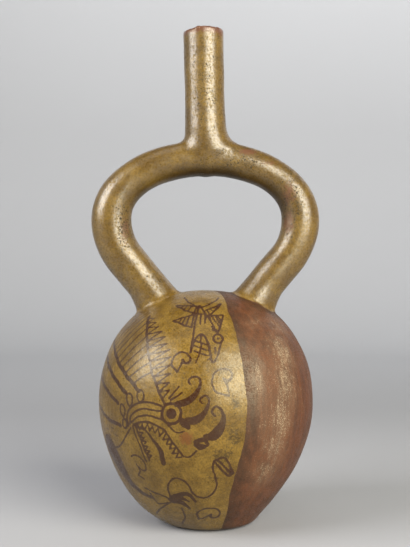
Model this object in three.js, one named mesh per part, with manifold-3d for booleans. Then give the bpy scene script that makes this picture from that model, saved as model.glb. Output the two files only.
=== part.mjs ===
// Stirrup-spout bottle of thin burnished clay, in millimetres, +Z up.
// The origin is the middle of the flat underside. The stirrup stands in the XZ plane, and +Y is the back.
// Body, stirrup and spout were luted together before firing, so the bottle is one solid, open at the lip.
import * as THREE from "three";
import { mergeVertices } from "three/addons/utils/BufferGeometryUtils.js";
import Module from "manifold-3d";

const wasm = await Module();
wasm.setup();

// ---------- driving dimensions ----------

const HEIGHT = 280; // underside to the highest point of the lip

// The body is an egg that stands on its narrow end.
const BODY = {
  radius: 61,
  widest: 68.4, // height of the widest ring
  crown: 131.3, // height of the dome between the two legs
  domeExponent: 2.15, // the dome is a superellipse, a little squarer than a ball
  bowlDepth: 77.3, // half axis of the lower curve, which the underside cuts off
  bowlExponent: 1.81,
  foot: 20, // radius of the flat underside
  footRound: 2.4, // height at which the rounded foot has run into the wall
  swell: 1.2, // how far the wall leans towards -X, low on the body
  swellHeight: 14,
  swellReach: 20,
  footShift: 2.4, // how far the flat underside is set back towards +X
  footReach: 5,
  wall: 4.5,
};

// The centreline of the stirrup: an arch, then on each side a bend and a straight leg into the dome.
const STIRRUP = {
  halfSpan: 54, // from the axis to the centreline at its widest
  springing: 171.5, // height of the widest point
  rise: 34.8, // from there up to the centreline under the spout
  archExponent: 2.07,
  bendRadius: 35.6,
  legLean: THREE.MathUtils.degToRad(39.7), // from the vertical
  legLength: 42, // along the straight leg, ending inside the body
  topRadius: 10.2,
  sideRadius: 11.3,
  legRadius: 11.1,
  footRadius: 14.1, // where a leg flares into the dome
  footOutset: 2.5, // and how far its centre then stands outwards
  flareTop: 137,
  flareBottom: 119,
  handDifference: 0.4, // the -X branch is this much thicker and the +X branch thinner, in radius
  wall: 3.4,
};

const SPOUT = {
  base: 206, // on the centreline of the arch
  baseRadius: 10.2,
  neckHeight: 222,
  neckRadius: 12.3,
  waistHeight: 246,
  waistRadius: 11.4,
  lipRadius: 11.8,
  lipRound: 2.6, // height of the worn, rounded outer edge
  bore: 8.4,
  lean: -1.4, // how far the lip stands towards -X
  lipDrop: 1.1, // how much lower the lip is worn on its -X side
  filletTop: 224, // the fillets that run out along the arch, from here down
  filletWide: 216,
  filletReach: 6.5,
};

// Chips in the lip: direction in degrees from +X, radius, and how deep each bites.
const CHIPS = [
  { direction: 258, radius: 2.2, depth: 0.9 },
  { direction: 200, radius: 3.0, depth: 1.0 },
  { direction: 325, radius: 2.6, depth: 0.8 },
  { direction: 80, radius: 2.6, depth: 0.8 },
];

const FACETS = {
  bodySides: 56,
  cavitySides: 32,
  bowlRings: 14,
  domeRings: 10,
  cavityBowlRings: 9,
  cavityDomeRings: 7,
  tubeSides: 20,
  tubeSteps: 44,
  boreSides: 12,
  boreSteps: 30,
  spoutSides: 28,
};

// ---------- solids ----------

/** A manifold solid from a closed three.js geometry. */
function solid(geometry) {
  const bare = geometry.clone();
  bare.deleteAttribute("normal");
  bare.deleteAttribute("uv");
  const merged = mergeVertices(bare, 1e-3);
  const kept = [];
  for (let i = 0; i < merged.index.count; i += 3) {
    const [a, b, c] = merged.index.array.subarray(i, i + 3);
    if (a !== b && b !== c && c !== a) kept.push(a, b, c);
  }
  return new wasm.Manifold(
    new wasm.Mesh({
      numProp: 3,
      vertProperties: merged.attributes.position.array,
      triVerts: new Uint32Array(kept),
    }),
  );
}

/** Moves each vertex of a geometry by place(x, y, z), which returns a Vector3. */
function reshape(geometry, place) {
  const at = geometry.attributes.position;
  for (let i = 0; i < at.count; i += 1) {
    const p = place(at.getX(i), at.getY(i), at.getZ(i));
    at.setXYZ(i, p.x, p.y, p.z);
  }
  return geometry;
}

/** A shape turned round Z from an outline of (radius, height) points. */
function turned(outline, sides) {
  return new THREE.LatheGeometry(outline, sides).rotateX(Math.PI / 2);
}

// ---------- body ----------

/** The body's outline from the axis below to the crown, set in from the outside by inset. */
function bodyOutline(inset, bowlRings, domeRings) {
  const radius = BODY.radius - inset;
  const dome = BODY.crown - BODY.widest - inset;
  const bowl = BODY.bowlDepth - inset;
  const floor = inset; // the underside is as thick as the wall
  const lowest = BODY.footRound + inset;
  const steepest = Math.asin(
    ((BODY.widest - lowest) / bowl) ** (BODY.bowlExponent / 2),
  );
  const outline = [
    new THREE.Vector2(0, floor),
    new THREE.Vector2(BODY.foot - inset / 2, floor),
  ];
  const footSide = radius * Math.cos(steepest) ** (2 / BODY.bowlExponent);
  outline.push(
    new THREE.Vector2(
      BODY.foot - inset / 2 + (footSide - BODY.foot + inset / 2) * 0.66,
      floor + BODY.footRound * 0.36,
    ),
  );
  for (let i = 0; i <= bowlRings; i += 1) {
    const turn = steepest * (1 - i / bowlRings);
    const power = 2 / BODY.bowlExponent;
    outline.push(
      new THREE.Vector2(
        radius * Math.cos(turn) ** power,
        BODY.widest - bowl * Math.sin(turn) ** power,
      ),
    );
  }
  for (let i = 1; i <= domeRings; i += 1) {
    const turn = (Math.PI / 2) * (i / domeRings);
    const power = 2 / BODY.domeExponent;
    const r = i === domeRings ? 0 : radius * Math.cos(turn) ** power;
    outline.push(
      new THREE.Vector2(r, BODY.widest + dome * Math.sin(turn) ** power),
    );
  }
  return outline;
}

/** How far the hand-made wall stands off its axis along X at a height. */
function swellAt(z) {
  const swell = Math.exp(-(((z - BODY.swellHeight) / BODY.swellReach) ** 2));
  return BODY.footShift * Math.exp(-((z / BODY.footReach) ** 2)) - BODY.swell * swell;
}

function bodySolid(inset, sides, bowlRings, domeRings) {
  const shape = turned(bodyOutline(inset, bowlRings, domeRings), sides);
  return solid(reshape(shape, (x, y, z) => new THREE.Vector3(x + swellAt(z), y, z)));
}

// ---------- stirrup ----------

/** How far a leg has flared at a height of its centreline, from 0 to 1. */
function flareAt(z) {
  return 1 - THREE.MathUtils.smoothstep(z, STIRRUP.flareBottom, STIRRUP.flareTop);
}

/** The centreline of the stirrup, from the foot of the -X leg over the arch to the foot of the +X leg. */
class StirrupLine extends THREE.Curve {
  constructor() {
    super();
    this.bend = STIRRUP.bendRadius * STIRRUP.legLean;
    this.side = STIRRUP.legLength + this.bend;
    this.arch = 2 * (STIRRUP.halfSpan + STIRRUP.rise) * 0.86; // about its real length
    this.total = 2 * this.side + this.arch;
  }

  /** A point of the +X side, a distance below the widest point. */
  below(distance) {
    const { halfSpan, springing, bendRadius, legLean } = STIRRUP;
    const turn = Math.min(distance / bendRadius, legLean);
    const straight = Math.max(distance - this.bend, 0);
    const across = halfSpan - bendRadius * (1 - Math.cos(turn)) - straight * Math.sin(legLean);
    const up = springing - bendRadius * Math.sin(turn) - straight * Math.cos(legLean);
    const outset = STIRRUP.footOutset * flareAt(up);
    return new THREE.Vector3(
      across + outset * Math.cos(legLean),
      0,
      up - outset * Math.sin(legLean),
    );
  }

  getPoint(t) {
    const along = t * this.total;
    if (along < this.side) {
      const p = this.below(this.side - along);
      return p.setX(-p.x);
    }
    if (along > this.side + this.arch)
      return this.below(along - this.side - this.arch);
    const turn = Math.PI * (1 - (along - this.side) / this.arch);
    const power = 2 / STIRRUP.archExponent;
    const across = Math.abs(Math.cos(turn)) ** power * Math.sign(Math.cos(turn));
    return new THREE.Vector3(
      STIRRUP.halfSpan * across,
      0,
      STIRRUP.springing + STIRRUP.rise * Math.max(Math.sin(turn), 0) ** power,
    );
  }
}

/** The outer radius of the stirrup at a point of its centreline. */
function stirrupRadius(point) {
  const { springing, rise, sideRadius, topRadius, legRadius, footRadius } = STIRRUP;
  const { lerp, smoothstep } = THREE.MathUtils;
  const upper = smoothstep(point.z, springing, springing + rise * 0.8);
  const lower = 1 - smoothstep(point.z, springing - 28, springing);
  const hand = (STIRRUP.handDifference * point.x) / STIRRUP.halfSpan;
  const plain = lerp(lerp(sideRadius, topRadius, upper), legRadius, lower);
  return plain - hand + (footRadius - legRadius) * flareAt(point.z);
}

/** A closed round tube along a curve that lies in the XZ plane. */
function sweptTube(curve, radiusAt, sides, steps) {
  const across = new THREE.Vector3(0, 1, 0);
  return reshape(
    new THREE.CylinderGeometry(1, 1, 1, sides, steps),
    (x, y, z) => {
      const t = y + 0.5;
      const centre = curve.getPoint(t);
      const normal = curve.getTangent(t).cross(across);
      return centre
        .clone()
        .addScaledVector(normal, x * radiusAt(centre))
        .addScaledVector(across, z * radiusAt(centre));
    },
  );
}

function stirrupSolid(inset, sides, steps) {
  const line = new StirrupLine();
  return solid(sweptTube(line, (p) => stirrupRadius(p) - inset, sides, steps));
}

// ---------- spout ----------

/** Leans the spout a little and lowers the -X side of its worn lip. */
function leaned(geometry) {
  const run = HEIGHT - SPOUT.base;
  return reshape(geometry, (x, y, z) => {
    const up = (z - SPOUT.base) / run;
    const low = (SPOUT.lipRadius - x) / (2 * SPOUT.lipRadius);
    return new THREE.Vector3(
      x + SPOUT.lean * up,
      y,
      z - SPOUT.lipDrop * low * Math.max(up, 0) ** 2,
    );
  });
}

/** Draws the foot of the spout out along the arch, on the two sides where it lies. */
function filleted(geometry) {
  const { filletTop, filletWide, filletReach, base } = SPOUT;
  return reshape(geometry, (x, y, z) => {
    const above = THREE.MathUtils.clamp((filletTop - z) / (filletTop - filletWide), 0, 1);
    const below = THREE.MathUtils.clamp((z - base) / (filletWide - base), 0, 1);
    const side = x / Math.max(Math.hypot(x, y), 1e-9);
    const reach = filletReach * above ** 1.8 * below * side * Math.abs(side) ** 3;
    return new THREE.Vector3(x + reach, y, z);
  });
}

function spoutSolid() {
  const { baseRadius, neckRadius, waistRadius, lipRadius, lipRound } = SPOUT;
  const wall = new THREE.SplineCurve([
    new THREE.Vector2(baseRadius, SPOUT.base),
    new THREE.Vector2(neckRadius, SPOUT.neckHeight),
    new THREE.Vector2(waistRadius, SPOUT.waistHeight),
    new THREE.Vector2(lipRadius, HEIGHT - lipRound),
  ]);
  const outline = [
    new THREE.Vector2(0, SPOUT.base),
    ...wall.getPoints(24),
    new THREE.Vector2(lipRadius - 0.5, HEIGHT - lipRound * 0.45),
    new THREE.Vector2(lipRadius - 1.3, HEIGHT - lipRound * 0.1),
    new THREE.Vector2(lipRadius - 2.1, HEIGHT),
    new THREE.Vector2(0, HEIGHT),
  ];
  return solid(leaned(filleted(turned(outline, FACETS.spoutSides))));
}

function spoutBore() {
  const outline = [
    new THREE.Vector2(0, SPOUT.base),
    new THREE.Vector2(SPOUT.baseRadius - STIRRUP.wall, SPOUT.base),
    new THREE.Vector2(SPOUT.bore, SPOUT.filletWide),
    new THREE.Vector2(SPOUT.bore, HEIGHT - 2),
    new THREE.Vector2(SPOUT.bore + 0.5, HEIGHT - 0.5),
    new THREE.Vector2(SPOUT.bore + 2, HEIGHT + 6),
    new THREE.Vector2(0, HEIGHT + 6),
  ];
  return solid(leaned(turned(outline, FACETS.boreSides)));
}

/** The chips in the lip, as one solid to take away. */
function lipChips() {
  const chips = CHIPS.map(({ direction, radius, depth }) => {
    const angle = THREE.MathUtils.degToRad(direction);
    const reach = SPOUT.lipRadius - 1 + radius - depth;
    const chip = new THREE.IcosahedronGeometry(radius, 1);
    chip.translate(
      reach * Math.cos(angle),
      reach * Math.sin(angle),
      HEIGHT - SPOUT.lipRound * 0.3 + radius - depth,
    );
    return solid(leaned(chip));
  });
  return chips.reduce((all, chip) => all.add(chip));
}

// ---------- the bottle ----------

function bottleGeometry() {
  const f = FACETS;
  const outside = bodySolid(0, f.bodySides, f.bowlRings, f.domeRings)
    .add(stirrupSolid(0, f.tubeSides, f.tubeSteps))
    .add(spoutSolid());
  const inside = bodySolid(BODY.wall, f.cavitySides, f.cavityBowlRings, f.cavityDomeRings)
    .add(stirrupSolid(STIRRUP.wall, f.boreSides, f.boreSteps))
    .add(spoutBore());
  const mesh = outside.subtract(inside).subtract(lipChips()).getMesh();
  return new THREE.BufferGeometry()
    .setAttribute("position", new THREE.BufferAttribute(mesh.vertProperties, 3))
    .setIndex(new THREE.BufferAttribute(mesh.triVerts, 1));
}

const slip = new THREE.MeshStandardMaterial({
  color: 0xb08c4e,
  roughness: 0.38,
  metalness: 0,
});

const bottle = new THREE.Mesh(bottleGeometry(), slip);
bottle.name = "vessel";

const group = new THREE.Group();
group.add(bottle);
export default group;
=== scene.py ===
"""A stirrup-spout bottle of burnished clay: cream slip with fine-line painting, red slip on one half.

The bottle is shaped in millimetres and scaled to metres once. Its outside is joined from a turned body,
a bent tube and a turned spout, smoothed by hand where they were luted together, and given finer facets
along every painted edge. The origin is the middle of the underside, +Z is up and -Y is the painted front.
"""

import logging
import math
from collections.abc import Callable
from dataclasses import dataclass, field
from enum import Enum

import bmesh
import bpy
import numpy as np
from mathutils import Matrix, Vector


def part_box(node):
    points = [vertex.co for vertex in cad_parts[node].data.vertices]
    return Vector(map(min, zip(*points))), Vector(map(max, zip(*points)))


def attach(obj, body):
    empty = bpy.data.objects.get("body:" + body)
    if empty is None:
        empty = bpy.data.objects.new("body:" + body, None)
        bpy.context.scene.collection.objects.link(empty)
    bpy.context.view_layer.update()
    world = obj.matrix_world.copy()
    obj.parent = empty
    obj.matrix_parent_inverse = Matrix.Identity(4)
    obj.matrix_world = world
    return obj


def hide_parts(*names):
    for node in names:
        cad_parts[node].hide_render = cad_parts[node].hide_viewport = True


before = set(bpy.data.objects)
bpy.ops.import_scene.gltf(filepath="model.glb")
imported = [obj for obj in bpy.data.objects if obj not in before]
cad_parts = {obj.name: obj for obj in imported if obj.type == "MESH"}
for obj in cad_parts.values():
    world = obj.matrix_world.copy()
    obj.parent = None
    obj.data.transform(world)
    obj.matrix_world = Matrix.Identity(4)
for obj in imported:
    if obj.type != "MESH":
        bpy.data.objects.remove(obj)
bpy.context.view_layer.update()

MM = 0.001
NODE = "vessel"
LOG = logging.getLogger("bottle")

Point = tuple[float, float]
Colour = tuple[float, float, float]
Field = tuple[np.ndarray, np.ndarray]
Surface = Callable[[np.ndarray], Field]
BMesh = bmesh.types.BMesh
Socket = bpy.types.NodeSocket
Given = Socket | float | tuple[float, ...]
Outlets = bpy.types.bpy_prop_collection


class Mark(Enum):
    """The measures that the mesh carries for its materials, each a float on every vertex."""

    PAINT = "paint_mm"
    RED = "red_mm"
    STAIN = "stain"
    LIP = "lip_mm"
    RUBBED = "rubbed"
    SOOT_AND_SHADE = "soot"
    BLOOM_AND_SHEEN = "bloom"
    CREASE = "crease"
    SCRATCH = "scratch_mm"
    SMOKE = "smoke"
    PITTED = "pitted"
    POLISH = "polish"


class Slot(Enum):
    """The material slots of the bottle's mesh."""

    SLIP = 0
    CLAY = 1


def srgb(red: int, green: int, blue: int) -> Colour:
    """A scene-linear colour from display values of 0 to 255.

    Args:
        red: red.
        green: green.
        blue: blue.

    Returns:
        The colour.
    """

    def linear(value: int) -> float:
        """One channel of it."""
        share = value / 255
        return share / 12.92 if share <= 0.04045 else ((share + 0.055) / 1.055) ** 2.4

    return linear(red), linear(green), linear(blue)


def spun(outline: list[Point], steps: int) -> BMesh:
    """Turns an outline of radii and heights round Z.

    Args:
        outline: radius and height of each point.
        steps: how many steps the full turn has.

    Returns:
        The turned mesh.
    """
    mesh = bmesh.new()
    verts = [mesh.verts.new((radius, 0, height)) for radius, height in outline]
    edges = [mesh.edges.new(pair) for pair in zip(verts, verts[1:])]
    bmesh.ops.spin(
        mesh,
        geom=verts + edges,
        cent=(0, 0, 0),
        axis=(0, 0, 1),
        angle=math.tau,
        steps=steps,
        use_merge=True,
    )
    return mesh


# ---------- fields: distance outside the clay, and the direction in which it grows ----------


def smooth_step(value: np.ndarray | float, low: float, high: float) -> np.ndarray:
    """0 below low, 1 above high, and an even S between."""
    share = np.clip((np.asarray(value, float) - low) / (high - low), 0.0, 1.0)
    return share * share * (3 - 2 * share)


def joined(first: Field, second: Field, blend: np.ndarray | float) -> Field:
    """Joins two solids with a fillet.

    Args:
        first: distance and direction of one solid.
        second: the same of the other.
        blend: how wide the fillet is, in millimetres.

    Returns:
        Distance and direction of the joined solid.
    """
    lean = np.clip(0.5 + 0.5 * (second[0] - first[0]) / blend, 0.0, 1.0)
    value = second[0] * (1 - lean) + first[0] * lean - blend * lean * (1 - lean)
    slope = second[1] * (1 - lean)[:, None] + first[1] * lean[:, None]
    return value, slope


def cut_flat(solid: Field, plane: Field, blend: float) -> Field:
    """Cuts a solid off at a plane, with a rounded arris."""
    value, slope = joined((-solid[0], -solid[1]), (-plane[0], -plane[1]), blend)
    return -value, -slope


@dataclass(frozen=True)
class HandMade:
    """The shallow unevenness of a wall that was built and scraped by hand."""

    depth: float = 0.22
    waves: tuple[tuple[float, float, float, float], ...] = (
        (0.071, 0.043, 0.058, 0.4),
        (-0.052, 0.088, 0.101, 1.9),
        (0.118, 0.096, -0.067, 3.1),
        (0.031, -0.124, 0.152, 5.0),
        (0.201, 0.163, 0.047, 2.2),
    )

    def hollow(self, points: np.ndarray) -> np.ndarray:
        """How far the wall lies inside its true form at each point, never outside.

        Args:
            points: places, in millimetres.

        Returns:
            One depth a place.
        """
        total = np.zeros(len(points))
        for x, y, z, phase in self.waves:
            total += np.sin(points @ np.array((x, y, z)) * 1.6 + phase)
        return self.depth * (1 + total / len(self.waves))


@dataclass(frozen=True)
class BodyForm:
    """The egg-shaped body, standing on its narrow end."""

    radius: float
    widest: float = 68.4
    crown: float = 131.3
    dome_power: float = 2.15
    bowl_depth: float = 77.3
    bowl_power: float = 1.81
    foot: float = 20.0
    swell: float = 1.2
    swell_height: float = 14.0
    swell_reach: float = 20.0
    foot_shift: float = 2.4
    foot_reach: float = 5.0
    wall: float = 4.5

    def radius_at(self, height: np.ndarray | float) -> np.ndarray:
        """Radius of the wall at a height.

        Args:
            height: where, in millimetres above the underside.

        Returns:
            The radius, in millimetres.
        """
        height = np.asarray(height, float)
        above = np.clip((height - self.widest) / (self.crown - self.widest), 0, 1)
        below = np.clip((self.widest - height) / self.bowl_depth, 0, 1)
        dome = (1 - above**self.dome_power) ** (1 / self.dome_power)
        bowl = (1 - below**self.bowl_power) ** (1 / self.bowl_power)
        return self.radius * np.where(height > self.widest, dome, bowl)

    def offset_at(self, height: np.ndarray | float) -> np.ndarray:
        """How far the wall stands off its axis along X at a height.

        Args:
            height: where, in millimetres above the underside.

        Returns:
            The offset, in millimetres.
        """
        height = np.asarray(height, float)
        swell = np.exp(-(((height - self.swell_height) / self.swell_reach) ** 2))
        return self.foot_shift * np.exp(-((height / self.foot_reach) ** 2)) - self.swell * swell

    def roundness(self, points: np.ndarray) -> np.ndarray:
        """0 on the wall, below 0 inside it and above 0 outside it.

        Args:
            points: places, in millimetres.

        Returns:
            One value a place, without a unit.
        """
        across = np.hypot(points[:, 0] - self.offset_at(points[:, 2]), points[:, 1]) / self.radius
        rise = points[:, 2] - self.widest
        dome = np.clip(rise, 0, None) / (self.crown - self.widest)
        bowl = np.clip(-rise, 0, None) / self.bowl_depth
        upper = (across**self.dome_power + dome**self.dome_power) ** (1 / self.dome_power)
        lower = (across**self.bowl_power + bowl**self.bowl_power) ** (1 / self.bowl_power)
        return np.where(rise > 0, upper, lower) - 1

    def field(self, points: np.ndarray, inset: float = 0.0) -> Field:
        """Distance outside the body, whose underside is flat, and its direction.

        Args:
            points: places, in millimetres.
            inset: how far inside the wall.

        Returns:
            Distance and direction at each place.
        """
        value = self.roundness(points)
        step = 0.01
        slope = np.stack(
            [(self.roundness(points + step * axis) - value) / step for axis in np.eye(3)], axis=1
        )
        steep = np.maximum(np.linalg.norm(slope, axis=1), 1e-6)
        egg = (value / steep + inset, slope / steep[:, None])
        floor = (inset - points[:, 2], np.tile((0.0, 0.0, -1.0), (len(points), 1)))
        return cut_flat(egg, floor, 3.0)

    def outline(self, inset: float, rings: int) -> list[Point]:
        """Radius and height from the axis below to the crown.

        Args:
            inset: how far inside the wall.
            rings: how many heights the wall has.

        Returns:
            The outline, closed on the axis.
        """
        heights = self.crown - inset - (self.crown - 2 * inset) * (
            0.5 + 0.5 * np.cos(np.linspace(0, math.pi, rings))
        )
        wall = [(max(float(self.radius_at(z)) - inset, 0.5), float(z)) for z in heights]
        return [(0.0, wall[0][1]), *wall, (0.0, wall[-1][1])]


@dataclass(frozen=True)
class StirrupForm:
    """The stirrup's centreline and thickness: an arch, then a bend and a straight leg on each side."""

    half_span: float = 54.0
    springing: float = 171.5
    rise: float = 34.8
    arch_power: float = 2.07
    bend_radius: float = 35.6
    leg_lean: float = math.radians(39.7)
    leg_length: float = 42.0
    top_radius: float = 10.2
    side_radius: float = 11.3
    leg_radius: float = 11.1
    foot_radius: float = 13.4
    foot_outset: float = 2.2
    flare_bottom: float = 119.0
    flare_top: float = 137.0
    hand_difference: float = 0.4
    wall: float = 3.4

    @property
    def crown_height(self) -> float:
        """Height of the centreline at the top of the arch."""
        return self.springing + self.rise

    def flare_at(self, height: np.ndarray | float) -> np.ndarray:
        """How far a leg has flared at a height of its centreline, from 0 to 1."""
        return 1 - smooth_step(height, self.flare_bottom, self.flare_top)

    def centreline(self, spacing: float) -> np.ndarray:
        """Points of the centreline in the XZ plane, from the foot of the -X leg to that of the +X leg.

        Args:
            spacing: distance between points.

        Returns:
            X and height of each point.
        """
        bend = self.bend_radius * self.leg_lean
        down = np.arange(0, self.leg_length + bend, spacing)
        turn = np.minimum(down / self.bend_radius, self.leg_lean)
        straight = np.maximum(down - bend, 0)
        x = self.half_span - self.bend_radius * (1 - np.cos(turn)) - straight * math.sin(self.leg_lean)
        z = self.springing - self.bend_radius * np.sin(turn) - straight * math.cos(self.leg_lean)
        outset = self.foot_outset * self.flare_at(z)
        leg = np.stack(
            (x + outset * math.cos(self.leg_lean), z - outset * math.sin(self.leg_lean)), axis=1
        )
        steps = int(2.6 * self.half_span / spacing)
        angle = np.linspace(math.pi, 0, steps)[1:-1]
        power = 2 / self.arch_power
        arch = np.stack(
            (
                self.half_span * np.sign(np.cos(angle)) * np.abs(np.cos(angle)) ** power,
                self.springing + self.rise * np.sin(angle) ** power,
            ),
            axis=1,
        )
        return np.concatenate((leg[::-1] * (-1, 1), arch, leg))

    def radius_at(self, line: np.ndarray) -> np.ndarray:
        """Outer radius at points of the centreline.

        Args:
            line: X and height of each point.

        Returns:
            One radius a point.
        """
        x, z = line[:, 0], line[:, 1]
        upper = smooth_step(z, self.springing, self.springing + self.rise * 0.8)
        lower = 1 - smooth_step(z, self.springing - 28, self.springing)
        plain = self.side_radius + (self.top_radius - self.side_radius) * upper
        plain = plain + (self.leg_radius - plain) * lower
        flare = (self.foot_radius - self.leg_radius) * self.flare_at(z)
        return plain - self.hand_difference * x / self.half_span + flare

    def field(self, points: np.ndarray, inset: float = 0.0) -> Field:
        """Distance outside the stirrup and its direction.

        Args:
            points: places, in millimetres.
            inset: how far inside the wall.

        Returns:
            Distance and direction at each place.
        """
        line = self.centreline(0.5)
        radius = self.radius_at(line)
        value = np.full(len(points), 60.0)
        slope = np.tile((0.0, 0.0, 1.0), (len(points), 1))
        near = np.flatnonzero(points[:, 2] > self.flare_bottom - 30)
        for rows in np.array_split(near, len(near) // 4000 + 1):
            here = points[rows]
            nearest = np.argmin(
                (here[:, None, 0] - line[None, :, 0]) ** 2 + (here[:, None, 2] - line[None, :, 1]) ** 2,
                axis=1,
            )
            away = here.copy()
            away[:, 0] -= line[nearest, 0]
            away[:, 2] -= line[nearest, 1]
            reach = np.maximum(np.linalg.norm(away, axis=1), 1e-6)
            value[rows] = reach - radius[nearest] + inset
            slope[rows] = away / reach[:, None]
        return value, slope


@dataclass(frozen=True)
class SpoutForm:
    """The straight spout on top of the arch, with its worn and chipped lip."""

    top: float
    base: float = 206.0
    base_radius: float = 10.4
    waist: float = 246.0
    waist_radius: float = 11.4
    lip_radius: float = 11.8
    neck: float = 222.0
    neck_radius: float = 12.1
    bore: float = 8.4
    lean: float = -1.4
    lip_drop: float = 1.1
    lip_round: float = 2.4
    cut: float = 262.0
    chips: tuple[tuple[float, float, float], ...] = (
        (253.0, 1.3, 1.1),
        (243.0, 1.2, 0.5),
        (228.0, 2.2, 0.8),
        (200.0, 2.6, 0.9),
        (286.0, 1.0, 0.4),
        (312.0, 1.8, 0.7),
        (20.0, 1.6, 0.6),
        (80.0, 2.6, 0.9),
        (140.0, 2.0, 0.7),
    )

    def axis_at(self, height: np.ndarray | float) -> np.ndarray:
        """X of the spout's axis at a height."""
        return self.lean * (np.asarray(height, float) - self.base) / (self.top - self.base)

    def radius_at(self, height: np.ndarray | float) -> np.ndarray:
        """Outer radius at a height.

        Args:
            height: where, in millimetres above the underside.

        Returns:
            The radius, in millimetres.
        """
        stations = (self.base, self.neck - 6, self.neck, self.waist - 10, self.waist, self.top)
        radii = (
            self.base_radius,
            self.neck_radius - 0.2,
            self.neck_radius,
            self.waist_radius + 0.15,
            self.waist_radius,
            self.lip_radius,
        )
        return np.interp(height, stations, radii)

    def field(self, points: np.ndarray, bored: bool = False) -> Field:
        """Distance outside the spout, or outside its bore, and its direction.

        Args:
            points: places, in millimetres.
            bored: whether the bore is meant.

        Returns:
            Distance and direction at each place.
        """
        away = points - np.array((0.0, 0.0, self.base))
        away[:, 0] -= self.axis_at(points[:, 2])
        away[:, 2] = np.minimum(away[:, 2], 0)
        reach = np.maximum(np.linalg.norm(away, axis=1), 1e-6)
        radius = self.radius_at(points[:, 2])
        if bored:
            radius = radius - (self.waist_radius - self.bore)
        return reach - radius, away / reach[:, None]


@dataclass(frozen=True)
class BottleForm:
    """The whole bottle as one form, outside and inside."""

    body: BodyForm
    stirrup: StirrupForm
    spout: SpoutForm
    hand: HandMade = field(default_factory=HandMade)
    leg_fillet: float = 2.6
    spout_fillet: float = 5.5
    wide_fillet: float = 10.0

    def parts(self, points: np.ndarray) -> tuple[Field, Field]:
        """The body's field, and that of the stirrup and spout together.

        Args:
            points: places, in millimetres.

        Returns:
            The two fields.
        """
        side = smooth_step(points[:, 0], -6, 8)
        above = smooth_step(points[:, 2], self.stirrup.crown_height - 4, self.stirrup.crown_height + 6)
        fillet = 0.6 + above * (self.spout_fillet + (self.wide_fillet - self.spout_fillet) * side)
        handle = joined(self.stirrup.field(points), self.spout.field(points), fillet)
        return self.body.field(points), handle

    def outside(self, points: np.ndarray) -> Field:
        """Distance outside the bottle and its direction.

        Args:
            points: places, in millimetres.

        Returns:
            The field.
        """
        body, handle = self.parts(points)
        value, slope = joined(body, handle, self.leg_fillet)
        even = smooth_step(points[:, 2], 1.0, 6.0)
        return value + self.hand.hollow(points) * even, slope

    def inside(self, points: np.ndarray) -> Field:
        """The same for the hollow, which follows the outside at the wall's thickness.

        Args:
            points: places, in millimetres.

        Returns:
            The field.
        """
        handle = joined(
            self.stirrup.field(points, self.stirrup.wall), self.spout.field(points, bored=True), 4.0
        )
        return joined(self.body.field(points, self.body.wall), handle, 4.0)


# ---------- painting ----------


@dataclass(frozen=True)
class Stroke:
    """One pull of the brush: a line through a few points, pressed harder or lighter along its length.

    Points are millimetres round the widest ring from the middle of the front, and millimetres of height.
    """

    points: tuple[Point, ...]
    widths: tuple[float, ...] = (0.8,)
    curved: bool = True
    closed: bool = False

    def samples(self, spacing: float = 0.9) -> tuple[np.ndarray, np.ndarray]:
        """Points along the stroke and the half width of the paint at each.

        Args:
            spacing: distance between points.

        Returns:
            The points and the half widths.
        """
        given = np.array(self.points, float)
        if self.closed:
            given = np.concatenate((given, given[:1]))
        if len(given) == 1:
            return np.concatenate((given, given + (0.02, 0))), np.full(2, self.widths[0] / 2)
        line = self.rounded(given) if self.curved and len(given) > 2 else given
        steps = np.linalg.norm(np.diff(line, axis=0), axis=1)
        along = np.concatenate(([0], np.cumsum(steps)))
        count = max(int(along[-1] / spacing), 2) + 1
        stations = np.linspace(0, along[-1], count)
        if not self.curved:
            stations = np.unique(np.concatenate((stations, along)))
        even = np.stack([np.interp(stations, along, line[:, axis]) for axis in (0, 1)], axis=1)
        pressure = np.interp(
            stations / along[-1], np.linspace(0, 1, len(self.widths)), self.widths
        ) if len(self.widths) > 1 else np.full(len(stations), self.widths[0])
        drift = 0.16 * np.sin(stations * 0.55 + given[0, 0]) + 0.08 * np.sin(stations * 1.3)
        even[:, 0] += drift
        even[:, 1] += 0.7 * drift
        pressure = pressure + 0.09 * np.sin(stations * 0.8 + given[0, 1])
        return even, pressure / 2

    def rounded(self, given: np.ndarray) -> np.ndarray:
        """A Catmull-Rom curve through the points.

        Args:
            given: the points that it runs through.

        Returns:
            The points of the curve.
        """
        if self.closed:
            ends = given[-2], given[1]
        else:
            ends = 2 * given[0] - given[1], 2 * given[-1] - given[-2]
        guide = np.concatenate((ends[0][None], given, ends[1][None]))
        share = np.linspace(0, 1, 12, endpoint=False)[:, None]
        pieces = []
        for a, b, c, d in zip(guide, guide[1:], guide[2:], guide[3:]):
            bend = 2 * a - 5 * b + 4 * c - d
            twist = 3 * b - a - 3 * c + d
            pieces.append(0.5 * (2 * b + (c - a) * share + bend * share**2 + twist * share**3))
        return np.concatenate((*pieces, given[-1:]))


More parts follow.
